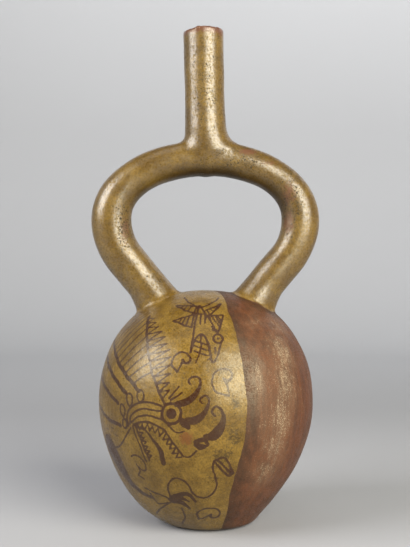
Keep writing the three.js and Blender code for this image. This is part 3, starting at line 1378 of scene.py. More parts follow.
    def mouth(self) -> BMesh:
        """The top of the spout: outer wall, worn lip and bore, turned and then chipped.

        Returns:
            The mesh, open below.
        """
        spout = self.form.spout
        start = spout.cut + 1.2
        walls = np.arange(start, spout.top - spout.lip_round, 0.8)
        outline = [(float(spout.radius_at(z)), float(z)) for z in walls]
        outer, inner = spout.lip_radius, spout.bore + (spout.lip_radius - spout.waist_radius)
        middle, half = (outer + inner) / 2, (outer - inner) / 2
        for step in range(1, 10):
            angle = math.pi * step / 10
            squared = math.copysign(abs(math.cos(angle)) ** 0.75, math.cos(angle))
            rise = math.sin(angle) ** 0.8
            outline.append((middle + half * squared, spout.top - spout.lip_round * (1 - rise)))
        for z in walls[::-3]:
            outline.append((float(spout.radius_at(z)) - (spout.waist_radius - spout.bore), float(z)))
        mesh = spun(outline, self.mouth_steps)
        self.wear_lip(mesh)
        return mesh

    def wear_lip(self, mesh: BMesh) -> None:
        """Leans the mouth, lowers its -X side and bites the chips out of the lip.

        Args:
            mesh: the mesh.
        """
        spout = self.form.spout
        chips = []
        for direction, radius, depth in spout.chips:
            angle = math.radians(direction)
            reach = spout.lip_radius - 0.8 + radius - depth
            place = (reach * math.cos(angle), reach * math.sin(angle), spout.top + radius - depth - 0.6)
            chips.append((Vector(place), radius))
        for vert in mesh.verts:
            turn = math.atan2(vert.co.y, vert.co.x)
            worn = float(smooth_step(vert.co.z, spout.top - 5, spout.top))
            rough = math.sin(5 * turn + 1) + 0.7 * math.sin(11 * turn) + 0.6 * math.sin(23 * turn + 2)
            vert.co.z -= worn * max(0.08 + 0.13 * rough, 0.0)
            for place, radius in chips:
                away = vert.co - place
                if away.length < radius:
                    vert.co = place + away.normalized() * radius
            up = (vert.co.z - spout.base) / (spout.top - spout.base)
            low = float(smooth_step(-vert.co.x, -2, 10)) * float(smooth_step(vert.co.z, spout.cut, spout.top))
            vert.co.z -= spout.lip_drop * low
            vert.co.x += spout.lean * up
            hollow = self.form.hand.hollow(np.array([vert.co[:]]))[0]
            flat = Vector((vert.co.x - spout.lean * up, vert.co.y, 0))
            if flat.length > spout.bore + 1.5:
                vert.co -= flat.normalized() * hollow

    def loop_at(self, mesh: BMesh, outer: bool) -> list[bmesh.types.BMEdge]:
        """The open edges of the outside or of the bore, split by their distance from the axis.

        Args:
            mesh: the mesh.
            outer: whether the outside is meant.

        Returns:
            The edges.
        """
        spout = self.form.spout
        limit = (spout.bore + spout.waist_radius) / 2
        found = []
        for edge in mesh.edges:
            if not edge.is_boundary:
                continue
            middle = (edge.verts[0].co + edge.verts[1].co) / 2
            away = math.hypot(middle.x - float(spout.axis_at(middle.z)), middle.y)
            if (away > limit) == outer:
                found.append(edge)
        return found

    def whole(self) -> BMesh:
        """The closed mesh: outside, lip, bore and hollow in one.

        Returns:
            The mesh, in millimetres.
        """
        outer, inner, mouth = self.outer_shell(), self.lining(), self.mouth()
        self.open_at(outer, self.form.spout.cut)
        self.open_at(inner, self.form.spout.cut)
        faces = [len(shell.faces) for shell in (outer, inner, mouth)]
        LOG.info("outside %d faces, lining %d, mouth %d", *faces)
        mesh = bmesh.new()
        for shell, slot in ((outer, Slot.SLIP), (inner, Slot.CLAY), (mouth, Slot.SLIP)):
            for face in shell.faces:
                face.material_index = slot.value
            part = bpy.data.meshes.new("part")
            shell.to_mesh(part)
            shell.free()
            mesh.from_mesh(part)
            bpy.data.meshes.remove(part)
        for outside in (True, False):
            bmesh.ops.bridge_loops(mesh, edges=self.loop_at(mesh, outside))
        bmesh.ops.recalc_face_normals(mesh, faces=mesh.faces)
        for face in mesh.faces:
            face.smooth = True
        return mesh

    def measures(self, points: np.ndarray) -> dict[Mark, np.ndarray]:
        """What each vertex tells the materials.

        Args:
            points: places, in millimetres.

        Returns:
            The values of each mark.
        """
        (body, _), (handle, outward) = self.form.parts(points)
        spout = self.form.spout
        return {
            Mark.PAINT: self.painted(points, handle),
            Mark.RED: self.division.distance(points, handle),
            Mark.STAIN: covered(self.wear.stain, points),
            Mark.LIP: spout.top - points[:, 2] - spout.lip_drop * 0.5,
            Mark.RUBBED: covered(self.wear.rubbed, points),
            Mark.SOOT_AND_SHADE: self.wear.soot(points, outward),
            Mark.BLOOM_AND_SHEEN: covered(self.wear.bloom, points),
            Mark.CREASE: np.exp(-((np.abs(body) + np.abs(handle)) / 1.6)),
            Mark.SCRATCH: self.wear.scratch(points),
            Mark.SMOKE: covered(self.wear.smoke, points),
            Mark.PITTED: covered(self.wear.pitted, points),
            Mark.POLISH: 0.1 + 0.75 * smooth_step(body, 0.0, 6.0),
        }

    def make(self) -> bpy.types.Object:
        """Builds the finished object, in metres.

        Returns:
            The object.
        """
        mesh = self.whole()
        marks = self.measures(read_points(mesh))
        bmesh.ops.scale(mesh, verts=mesh.verts, vec=(MM, MM, MM))
        data = bpy.data.meshes.new("bottle")
        mesh.to_mesh(data)
        open_edges = sum(1 for edge in mesh.edges if not edge.is_manifold)
        mesh.free()
        for mark, values in marks.items():
            layer = data.attributes.new(mark.value, "FLOAT", "POINT")
            layer.data.foreach_set("value", values.astype(np.float32))
        data.calc_loop_triangles()
        LOG.info("bottle: %d triangles, %d open edges", len(data.loop_triangles), open_edges)
        bottle = bpy.data.objects.new("bottle", data)
        bpy.context.scene.collection.objects.link(bottle)
        return bottle


# ---------- materials ----------


class NodeBench:
    """Adds shader nodes to one tree and joins them."""

    def __init__(self, tree: bpy.types.NodeTree) -> None:
        """Starts on a tree."""
        self.tree = tree

    def add(self, kind: str, **settings: object) -> bpy.types.Node:
        """Adds a node with its settings.

        Args:
            kind: the node's type.
            settings: its settings by name.

        Returns:
            The node.
        """
        node = self.tree.nodes.new(kind)
        for name, value in settings.items():
            setattr(node, name, value)
        return node

    def feed(self, socket: Socket, value: Given) -> None:
        """Links a socket to another, or sets its value.

        Args:
            socket: the socket that is fed.
            value: a socket, number or colour.
        """
        if isinstance(value, Socket):
            self.tree.links.new(value, socket)
        elif isinstance(value, tuple) and socket.type == "RGBA":
            socket.default_value = (*value, 1.0)
        else:
            socket.default_value = value

    def math(self, operation: str, first: Given, second: Given = 0.0, clamp: bool = False) -> Socket:
        """Works out one value from two.

        Args:
            operation: the sum to do.
            first: the first value.
            second: the second value.
            clamp: whether it stays between 0 and 1.

        Returns:
            The result.
        """
        node = self.add("ShaderNodeMath", operation=operation, use_clamp=clamp)
        self.feed(node.inputs[0], first)
        self.feed(node.inputs[1], second)
        return node.outputs[0]

    def spread(
        self, value: Given, low: float, high: float, to_low: float = 0.0, to_high: float = 1.0
    ) -> Socket:
        """Turns a range of values smoothly into another.

        Args:
            value: what is turned.
            low: where the range starts.
            high: where it ends.
            to_low: the result at its start.
            to_high: the result at its end.

        Returns:
            The result.
        """
        node = self.add("ShaderNodeMapRange", interpolation_type="SMOOTHSTEP")
        for socket, given in zip(node.inputs, (value, low, high, to_low, to_high)):
            self.feed(socket, given)
        return node.outputs[0]

    def blend(self, share: Given, first: Given, second: Given) -> Socket:
        """Mixes two colours.

        Args:
            share: how much of the second.
            first: the first colour.
            second: the second colour.

        Returns:
            The mixed colour.
        """
        node = self.add("ShaderNodeMix", data_type="RGBA")
        self.feed(node.inputs["Factor"], share)
        self.feed(node.inputs[6], first)
        self.feed(node.inputs[7], second)
        return node.outputs[2]

    def noise(
        self, place: Socket, size: float, detail: float = 3.0, rough: float = 0.5, warp: float = 0.0
    ) -> Socket:
        """Adds noise whose features are about so many millimetres wide.

        Args:
            place: coordinates in millimetres.
            size: how wide its features are.
            detail: how many finer layers it has.
            rough: how strong they are.
            warp: how far it is bent.

        Returns:
            Its value.
        """
        node = self.add("ShaderNodeTexNoise")
        self.feed(node.inputs["Vector"], place)
        node.inputs["Scale"].default_value = 1 / size
        node.inputs["Detail"].default_value = detail
        node.inputs["Roughness"].default_value = rough
        node.inputs["Distortion"].default_value = warp
        return node.outputs["Fac"]

    def mark(self, mark: Mark) -> Socket:
        """Reads one of the mesh's measures."""
        return self.add("ShaderNodeAttribute", attribute_name=mark.value).outputs["Fac"]

    def millimetres(self, stretch: tuple[float, float, float] = (1, 1, 1)) -> Socket:
        """Object coordinates in millimetres, stretched along each axis.

        Args:
            stretch: a factor for each axis.

        Returns:
            The coordinates.
        """
        node = self.add("ShaderNodeMapping", vector_type="POINT")
        coordinates = self.add("ShaderNodeTexCoord")
        self.feed(node.inputs["Vector"], coordinates.outputs["Object"])
        node.inputs["Scale"].default_value = tuple(part / MM for part in stretch)
        return node.outputs[0]


def group_tree(
    name: str, inputs: tuple[tuple[str, str, float | None], ...], outputs: tuple[str, ...]
) -> tuple[bpy.types.NodeTree, NodeBench, Outlets, Outlets]:
    """Starts a node group.

    Args:
        name: its name.
        inputs: name, kind of socket and value of each input.
        outputs: the names of its float outputs.

    Returns:
        The tree, its bench, the input node's outputs and the output node's inputs.
    """
    tree = bpy.data.node_groups.new(name, "ShaderNodeTree")
    for label, kind, value in inputs:
        socket = tree.interface.new_socket(label, in_out="INPUT", socket_type=kind)
        if value is not None:
            socket.default_value = value
    for label in outputs:
        tree.interface.new_socket(label, in_out="OUTPUT", socket_type="NodeSocketFloat")
    bench = NodeBench(tree)
    return tree, bench, bench.add("NodeGroupInput").outputs, bench.add("NodeGroupOutput").inputs


def new_material(name: str) -> tuple[bpy.types.Material, "NodeBench", bpy.types.Node]:
    """Starts a material.

    Args:
        name: its name.

    Returns:
        The material, its bench and its main shader.
    """
    material = bpy.data.materials.new(name)
    material.use_nodes = True
    return material, NodeBench(material.node_tree), material.node_tree.nodes["Principled BSDF"]


@dataclass(frozen=True)
class ClayEffects:
    """The effects that both the slip and the bare clay use, each a node group built once."""

    mottle: bpy.types.NodeTree
    pits: bpy.types.NodeTree

    @classmethod
    def build(cls) -> "ClayEffects":
        """Builds the groups."""
        return cls(cls.build_mottle(), cls.build_pits())

    @staticmethod
    def build_mottle() -> bpy.types.NodeTree:
        """Cloudy patches with a finer break-up on top, from 0 to 1.

        Returns:
            The group.
        """
        inputs = (("Place", "NodeSocketVector", None), ("Finer", "NodeSocketFloat", 0.35))
        tree, bench, given, out = group_tree("clay mottle", inputs, ("Patches",))
        broad = bench.noise(given["Place"], 16.0, 4.0, 0.6, 0.6)
        small = bench.noise(given["Place"], 3.2, 3.0, 0.6)
        part = bench.math("MULTIPLY", bench.math("SUBTRACT", small, 0.5), given["Finer"])
        total = bench.math("ADD", broad, part)
        bench.feed(out["Patches"], bench.spread(total, 0.36, 0.66))
        return tree

    @staticmethod
    def build_pits() -> bpy.types.NodeTree:
        """Small pits of three sizes: their mask, and a fine unevenness of the burnish.

        Returns:
            The group.
        """
        inputs = (("Place", "NodeSocketVector", None), ("Cover", "NodeSocketFloat", 0.3))
        tree, bench, given, out = group_tree("clay pits", inputs, ("Pits", "Grain"))
        chance = bench.noise(given["Place"], 5.5, 4.0, 0.7)
        total = None
        for size, bar in ((2.0, 0.97), (1.3, 0.99), (0.85, 0.98)):
            cells = bench.add("ShaderNodeTexVoronoi", feature="F1")
            bench.feed(cells.inputs["Vector"], given["Place"])
            cells.inputs["Scale"].default_value = 1 / size
            spot = bench.spread(cells.outputs["Distance"], 0.16, 0.38, 1.0, 0.0)
            floor = bench.math("SUBTRACT", bar, given["Cover"])
            picked = bench.math("MULTIPLY", bench.math("SUBTRACT", chance, floor), 9.0, clamp=True)
            spots = bench.math("MULTIPLY", spot, picked)
            total = spots if total is None else bench.math("MAXIMUM", total, spots)
        bench.feed(out["Pits"], total)
        bench.feed(out["Grain"], bench.noise(given["Place"], 1.0, 3.0, 0.65))
        return tree


def grouped(bench: NodeBench, tree: bpy.types.NodeTree, **given: Given) -> Outlets:
    """Places a node group in a material and returns its outputs.

    Args:
        bench: the bench of the material.
        tree: the group.
        given: what its inputs are fed.

    Returns:
        Its outputs.
    """
    node = bench.add("ShaderNodeGroup", node_tree=tree)
    for label, value in given.items():
        bench.feed(node.inputs[label], value)
    return node.outputs


@dataclass(frozen=True)
class CreamSlip:
    """The cream slip: a warm ochre, clouded paler and smoked in dark brown specks."""

    pale: Colour = srgb(116, 89, 29)
    warm: Colour = srgb(93, 68, 16)
    smoked: Colour = srgb(50, 34, 11)
    handled: float = 0.84


@dataclass(frozen=True)
class RedSlip:
    """The red slip, burnished in upright strokes, filmed over and given painted sheen in places, with painted
    shade along the division.
    """

    deep: Colour = srgb(67, 33, 14)
    bright: Colour = srgb(88, 46, 20)
    dusty: Colour = srgb(98, 62, 38)
    # painted shade: the red darkens by this factor in a ragged band along the division
    shaded: float = 0.56
    shade_reach: tuple[float, float] = (1.0, 10.0)
    shade_ragged: float = 14.0


@dataclass(frozen=True)
class BurnishedSlip:
    """The painted and burnished outside."""

    cream: CreamSlip = field(default_factory=CreamSlip)
    red: RedSlip = field(default_factory=RedSlip)
    paint: Colour = srgb(50, 23, 8)
    rim: Colour = srgb(54, 27, 14)
    stain: Colour = srgb(98, 54, 20)
    raw: Colour = srgb(96, 60, 42)
    soot: Colour = srgb(36, 24, 11)
    film_and_sheen: Colour = srgb(154, 134, 106)
    pit: Colour = srgb(28, 19, 10)
    roughness: float = 0.29
    ior: float = 1.58
    cloud_rough: float = 0.14
    dull_rough: float = 0.26
    pit_rough: float = 0.3
    red_rough: tuple[float, float] = (0.20, 0.16)
    grain_height: float = 0.8
    pitted_height: float = 0.9
    hand_wave: tuple[float, float] = (4.4, 3.6)
    stroke_wave: tuple[float, float] = (2.6, 1.0)
    dull_depth: float = 0.18
    bump_strength: float = 0.5
    bump_depth: float = 0.13
    polish_roughness: float = 0.29
    polish_ior: float = 1.6
    sheen_tint: Colour = (1.0, 0.93, 0.68)

    def build(self, effects: ClayEffects) -> bpy.types.Material:
        """Builds the material.

        Args:
            effects: the shared node groups.

        Returns:
            The material.
        """
        material, bench, shader = new_material("burnished slip")
        shader.inputs["IOR"].default_value = self.ior
        shader.inputs["Specular Tint"].default_value = (*self.sheen_tint, 1.0)
        place = bench.millimetres()
        mottle = grouped(bench, effects.mottle, Place=place, Finer=0.5)["Patches"]
        pitted_share = bench.math("MULTIPLY", bench.mark(Mark.PITTED), 0.27)
        pits = grouped(bench, effects.pits, Place=place, Cover=bench.math("ADD", pitted_share, 0.33))
        dull = self.dulled(bench, place)
        red_share = bench.spread(
            bench.math("ADD", bench.mark(Mark.RED), self.waver(bench, place, 1.4, 0.5)), -0.12, 0.12
        )
        cream = self.cream_colour(bench, place, mottle)
        ground = bench.blend(red_share, cream, self.red_colour(bench, place))
        from_edge = bench.math("ABSOLUTE", bench.math("SUBTRACT", bench.mark(Mark.RED), 0.35))
        rim = bench.spread(from_edge, 0.1, 0.7, 1.0, 0.0)
        broken = bench.spread(bench.noise(place, 7.0, 4.0, 0.7), 0.42, 0.62)
        outlined = bench.math("MULTIPLY", bench.math("MULTIPLY", rim, broken), 0.7)
        ground = bench.blend(outlined, ground, self.rim)
        worn = self.worn_colour(bench, place, ground)
        painted = self.paint_share(bench, place)
        coloured = bench.blend(painted, worn, self.paint)
        pitted = bench.blend(bench.math("MULTIPLY", pits["Pits"], 0.85), coloured, self.pit)
        bench.feed(shader.inputs["Base Color"], pitted)
        self.gloss(bench, shader, place, pits, dull, red_share)
        rubbed = self.speckled(bench, place, Mark.RUBBED, 1.5, 0.56)
        self.polish(bench, shader, place, pits, red_share, rubbed)
        return material

    @staticmethod
    def waver(bench: NodeBench, place: Socket, size: float, depth: float) -> Socket:
        """A small push either way that makes an edge uneven."""
        return bench.math("MULTIPLY", bench.math("SUBTRACT", bench.noise(place, size), 0.5), depth)

    @staticmethod
    def dulled(bench: NodeBench, place: Socket) -> Socket:
        """Where the burnish has gone in specks, from 0 to 1.

        Args:
            bench: the bench of the material.
            place: coordinates in millimetres.

        Returns:
            The mask.
        """
        fine = bench.noise(place, 0.75, 3.0, 0.7)
        broad = bench.noise(place, 6.0, 3.0, 0.6)
        total = bench.math("ADD", fine, bench.math("MULTIPLY", broad, 0.45))
        total = bench.math("ADD", total, bench.math("MULTIPLY", bench.mark(Mark.PITTED), 0.09))
        return bench.spread(total, 0.68, 0.86)

    @staticmethod
    def speckled(bench: NodeBench, place: Socket, mark: Mark, size: float, full: float) -> Socket:
        """Breaks a soft patch up into specks that thin out towards its edge.

        Args:
            bench: the bench of the material.
            place: coordinates in millimetres.
            mark: the patch's measure.
            size: how wide the specks are, in millimetres.
            full: how strongly the patch fills in at its middle, about 0.3 to 0.7.

        Returns:
            The share of the patch's colour.
        """
        specks = bench.noise(place, size, 5.0, 0.75)
        total = bench.math("ADD", specks, bench.math("MULTIPLY", bench.mark(mark), full))
        return bench.spread(total, 0.80, 0.98)

    def cream_colour(self, bench: NodeBench, place: Socket, mottle: Socket) -> Socket:
        """The cream ground with its clouds and smoked specks.

        Args:
            bench: the bench of the material.
            place: coordinates in millimetres.
            mottle: the cloudy patches.

        Returns:
            The colour.
        """
        clouded = bench.blend(mottle, self.cream.warm, self.cream.pale)
        grain = bench.spread(bench.noise(place, 0.9, 3.0, 0.75), 0.32, 0.66, 0.62, 1.20)
        node = bench.add("ShaderNodeVectorMath", operation="SCALE")
        bench.feed(node.inputs[0], clouded)
        handled = bench.spread(bench.mark(Mark.POLISH), 0.1, 0.85, 1.0, self.cream.handled)
        gritty = bench.spread(bench.noise(place, 1.15, 3.0, 0.8), 0.34, 0.60, 0.60, 1.10)
        grain = bench.math("MULTIPLY", grain, self.either(bench, Mark.PITTED, 1.0, gritty))
        bench.feed(node.inputs["Scale"], bench.math("MULTIPLY", grain, handled))
        smoked = self.speckled(bench, place, Mark.SMOKE, 1.6, 0.46)
        return bench.blend(bench.math("MULTIPLY", smoked, 0.8), node.outputs[0], self.cream.smoked)

    @staticmethod
    def either(bench: NodeBench, mark: Mark, without: float, within: Given) -> Socket:
        """One value where a mark is 0 and another where it is 1.

        Args:
            bench: the bench of the material.
            mark: the measure.
            without: the value at 0.
            within: the value at 1.

        Returns:
            The value.
        """
        node = bench.add("ShaderNodeMix", data_type="FLOAT")
        for label, value in (("Factor", bench.mark(mark)), ("A", without), ("B", within)):
            bench.feed(node.inputs[label], value)
        return node.outputs["Result"]

    def red_colour(self, bench: NodeBench, place: Socket) -> Socket:
        """The red ground with upright burnishing strokes, its bloom with painted sheen, and painted shade
        along the division.

        Args:
            bench: the bench of the material.
            place: coordinates in millimetres.

        Returns:
            The colour.
        """
        upright = bench.millimetres((1.0, 1.0, 0.09))
        strokes = bench.spread(bench.noise(upright, 3.4, 4.0, 0.6), 0.34, 0.66)
        base = bench.blend(strokes, self.red.deep, self.red.bright)
        cloud = bench.spread(bench.noise(place, 11.0, 4.0, 0.6, 0.5), 0.45, 0.70)
        dusted = bench.blend(bench.math("MULTIPLY", cloud, 0.35), base, self.red.dusty)
        film_and_sheen = self.bloom_and_sheen_share(bench, place)
        grain = bench.spread(bench.noise(place, 0.8, 3.0, 0.7), 0.32, 0.66, 0.76, 1.14)
        node = bench.add("ShaderNodeVectorMath", operation="SCALE")
        bench.feed(node.inputs[0], dusted)
        # painted shade: the red darkens in a ragged band along the division, where the lamp's sheen falls
        # away
        uneven = bench.math("SUBTRACT", bench.noise(upright, 5.0, 4.0, 0.7), 0.5)
        ragged = bench.math("MULTIPLY", uneven, self.red.shade_ragged)
        into = bench.math("ADD", bench.mark(Mark.RED), ragged)
        near = bench.spread(into, *self.red.shade_reach, self.red.shaded, 1.0)
        bench.feed(node.inputs["Scale"], bench.math("MULTIPLY", grain, near))
        # bloom with painted sheen: pale film and the lamp's sheen mixed into the red's colour
        return bench.blend(bench.math("MULTIPLY", film_and_sheen, 0.8), node.outputs[0], self.film_and_sheen)

    def bloom_and_sheen_share(self, bench: NodeBench, place: Socket) -> Socket:
        """The pale mineral bloom, partly a painted sheen on the red slip: fine specks that gather in upright
        streaks.

        Args:
            bench: the bench of the material.
            place: coordinates in millimetres.

        Returns:
            The mask.
        """
        specks = bench.noise(place, 0.55, 2.0, 0.6)
        streaks = bench.noise(bench.millimetres((1.0, 1.0, 0.16)), 2.2, 3.0, 0.65)
        total = bench.math("ADD", specks, bench.math("MULTIPLY", streaks, 0.45))
        total = bench.math("ADD", total, bench.math("MULTIPLY", bench.mark(Mark.BLOOM_AND_SHEEN), 0.24))
        sheen_haze = bench.math("MULTIPLY", bench.math("MULTIPLY", bench.mark(Mark.BLOOM_AND_SHEEN), streaks), 0.45)
        return bench.math("MAXIMUM", sheen_haze, bench.spread(total, 0.93, 1.06))

    def worn_colour(self, bench: NodeBench, place: Socket, ground: Socket) -> Socket:
        """Rubbed and stained places, soot with painted shade, the worn lip, the crease of the joints and the
        hairline.

        Args:
            bench: the bench of the material.
            place: coordinates in millimetres.
            ground: the colour below.

        Returns:
            The colour.
        """
        rubbed = self.speckled(bench, place, Mark.RUBBED, 1.5, 0.56)
        colour = bench.blend(bench.math("MULTIPLY", rubbed, 0.8), ground, self.raw)
        # painted shade and soot: darkens the stirrup on the side that faces its loop
        specks = bench.noise(place, 1.6, 5.0, 0.75)
        soot = bench.math("ADD", bench.mark(Mark.SOOT_AND_SHADE), bench.math("MULTIPLY", specks, 0.9))
        colour = bench.blend(bench.spread(soot, 0.45, 1.35, 0.0, 0.85), colour, self.soot)
        stain = self.speckled(bench, place, Mark.STAIN, 1.8, 0.6)
        colour = bench.blend(bench.math("MULTIPLY", stain, 0.75), colour, self.stain)
        coarse = bench.noise(place, 2.6, 5.0, 0.75)
        lip = bench.math("ADD", bench.mark(Mark.LIP), bench.math("MULTIPLY", coarse, -7.0))
        colour = bench.blend(bench.spread(lip, -1.4, 1.0, 1.0, 0.0), colour, self.raw)
        crease = bench.spread(bench.math("ADD", bench.mark(Mark.CREASE), coarse), 0.95, 1.4)
        colour = bench.blend(bench.math("MULTIPLY", crease, 0.35), colour, self.film_and_sheen)
        hairline = bench.spread(bench.mark(Mark.SCRATCH), 0.12, 0.42, 1.0, 0.0)
        return bench.blend(bench.math("MULTIPLY", hairline, 0.5), colour, self.film_and_sheen)

    def paint_share(self, bench: NodeBench, place: Socket) -> Socket:
        """Where the brown paint lies, with soft uneven edges and thin places.

        Args:
            bench: the bench of the material.
            place: coordinates in millimetres.

        Returns:
            The mask.
        """
        edge = bench.math("ADD", bench.mark(Mark.PAINT), self.waver(bench, place, 0.9, 0.3))
        laid = bench.spread(edge, -0.04, 0.22, 1.0, 0.0)
        thin = bench.spread(bench.noise(place, 2.8, 5.0, 0.75), 0.30, 0.52, 0.82, 1.0)
        return bench.math("MULTIPLY", laid, thin)

    def polish(
        self,
        bench: NodeBench,
        shader: bpy.types.Node,
        place: Socket,
        pits: Outlets,
        red_share: Socket,
        rubbed: Socket,
    ) -> None:
        """The glassy top of the burnish, left between specks and strongest on the handle.

        Args:
            bench: the bench of the material.
            shader: the main shader.
            place: coordinates in millimetres.
            pits: what the pits group puts out.
            red_share: the share of red slip.
            rubbed: the share rubbed bare.
        """
        fine = bench.noise(place, 1.25, 4.0, 0.75)
        worn = bench.math("MULTIPLY", bench.mark(Mark.PITTED), 0.05)
        left = bench.spread(bench.math("SUBTRACT", fine, worn), 0.40, 0.49)
        for gone in (pits["Pits"], bench.mark(Mark.SOOT_AND_SHADE), rubbed):
            left = bench.math("MULTIPLY", left, bench.math("SUBTRACT", 1.0, gone, clamp=True))
        left = bench.math("MULTIPLY", left, bench.mark(Mark.POLISH))
        bare = bench.math("SUBTRACT", 1.0, bench.math("MULTIPLY", red_share, 0.9))
        bench.feed(shader.inputs["Coat Weight"], bench.math("MULTIPLY", left, bare))
        shader.inputs["Coat Roughness"].default_value = self.polish_roughness
        shader.inputs["Coat IOR"].default_value = self.polish_ior

    def gloss(
        self,
        bench: NodeBench,
        shader: bpy.types.Node,
        place: Socket,
        pits: Outlets,
        dull: Socket,
        red_share: Socket,
    ) -> None:
        """Roughness and bump: a burnished sheen broken by dull specks, pits and strokes.

        Args:
            bench: the bench of the material.
            shader: the main shader.
            place: coordinates in millimetres.
            pits: what the pits group puts out.
            dull: where the burnish has gone.
            red_share: the share of red slip.
        """
        cloud = bench.noise(place, 7.0, 4.0, 0.65)
        rough = bench.math("ADD", bench.math("MULTIPLY", cloud, self.cloud_rough), self.roughness - 0.07)
        rough = bench.math("ADD", rough, bench.math("MULTIPLY", dull, self.dull_rough))
        near = bench.spread(bench.mark(Mark.RED), *self.red.shade_reach, *self.red_rough)
        rough = bench.math("ADD", rough, bench.math("MULTIPLY", red_share, near))
        rough = bench.math("ADD", rough, bench.math("MULTIPLY", pits["Pits"], self.pit_rough))
        bench.feed(shader.inputs["Roughness"], rough)
        pitted = bench.math("MULTIPLY", bench.mark(Mark.PITTED), self.pitted_height)
        coarser = bench.math("ADD", pitted, self.grain_height)
        height = bench.math("MULTIPLY", pits["Grain"], coarser)
        size, rise = self.hand_wave
        height = bench.math("ADD", height, bench.math("MULTIPLY", bench.noise(place, size, 2.0), rise))
        height = bench.math("SUBTRACT", height, pits["Pits"])
        height = bench.math("SUBTRACT", height, bench.math("MULTIPLY", dull, self.dull_depth))
        upright = bench.millimetres((1.0, 1.0, 0.12))
        size, rise = self.stroke_wave
        height = bench.math("ADD", height, bench.math("MULTIPLY", bench.noise(upright, size), rise))
        bump = bench.add("ShaderNodeBump")
        bump.inputs["Strength"].default_value = self.bump_strength
        bump.inputs["Distance"].default_value = self.bump_depth * MM
        bench.feed(bump.inputs["Height"], height)
        bench.feed(shader.inputs["Normal"], bump.outputs[0])


@dataclass(frozen=True)
class BareClay:
    """The unslipped clay of the hollow."""

    light: Colour = srgb(150, 104, 74)
    dark: Colour = srgb(96, 64, 46)
    roughness: float = 0.85

    def build(self, effects: ClayEffects) -> bpy.types.Material:
        """Builds the material.

        Args:
            effects: the shared node groups.

        Returns:
            The material.
        """
        material, bench, shader = new_material("bare clay")
        place = bench.millimetres()
        mottle = grouped(bench, effects.mottle, Place=place, Finer=0.8)["Patches"]
        pits = grouped(bench, effects.pits, Place=place, Cover=0.5)
        bench.feed(shader.inputs["Base Color"], bench.blend(mottle, self.dark, self.light))
        shader.inputs["Roughness"].default_value = self.roughness
        bump = bench.add("ShaderNodeBump")
        bump.inputs["Strength"].default_value = 0.6
        bump.inputs["Distance"].default_value = 0.3 * MM
        bench.feed(bump.inputs["Height"], bench.math("SUBTRACT", pits["Grain"], pits["Pits"]))
        bench.feed(shader.inputs["Normal"], bump.outputs[0])
        return material


@dataclass(frozen=True)
class StudioPaper:
    """The seamless pale paper of the studio, with painted shade: darker towards the camera side, where the
    studio is open and unlit.
    """

    colour: Colour = srgb(162, 163, 165)
    camera_side_shade: float = 0.22
    camera_side_from: tuple[float, float] = (-950.0, -500.0)

    def build(self) -> bpy.types.Material:
        """Builds the material.

        Returns:
            The material.
        """
        material, bench, shader = new_material("studio paper")
        cloud = bench.noise(bench.millimetres(), 260.0, 2.0)
        darker = tuple(part * 0.97 for part in self.colour)
        depth = bench.add("ShaderNodeSeparateXYZ")
        bench.feed(depth.inputs[0], bench.millimetres())
        node = bench.add("ShaderNodeVectorMath", operation="SCALE")
        bench.feed(node.inputs[0], bench.blend(cloud, darker, self.colour))
        # painted shade: the paper darkens towards -Y, the camera side
        camera_side_share = bench.spread(depth.outputs["Y"], *self.camera_side_from, self.camera_side_shade, 1.0)
        bench.feed(node.inputs["Scale"], camera_side_share)
        bench.feed(shader.inputs["Base Color"], node.outputs[0])
        shader.inputs["Roughness"].default_value = 0.9
        return material


# ---------- studio ----------


@dataclass(frozen=True)
class SoftLight:
    """A soft panel that faces the bottle.

    Attributes are its bearing from the front in degrees, positive to +X, its height angle, its distance and
    size in metres, its power in watts and its colour.
    """

    name: str
    bearing: float
    height_angle: float
    distance: float
    size: tuple[float, float]
    power: float
    colour: Colour

    def place(self, target: Vector) -> bpy.types.Object:
        """Adds the panel to the scene.

        Args:
            target: the point that it faces.

        Returns:
            The panel.
        """
        data = bpy.data.lights.new(self.name, "AREA")
        data.shape = "RECTANGLE"
        data.size, data.size_y = self.size
        data.energy = self.power
        data.color = self.colour
        panel = bpy.data.objects.new(self.name, data)
        turn, lift = math.radians(self.bearing), math.radians(self.height_angle)
        level = math.cos(lift)
        way = Vector((math.sin(turn) * level, -math.cos(turn) * level, math.sin(lift)))
        panel.location = target + way * self.distance
        panel.rotation_euler = way.to_track_quat("Z", "Y").to_euler()
        panel.visible_camera = False
        bpy.context.scene.collection.objects.link(panel)
        return panel


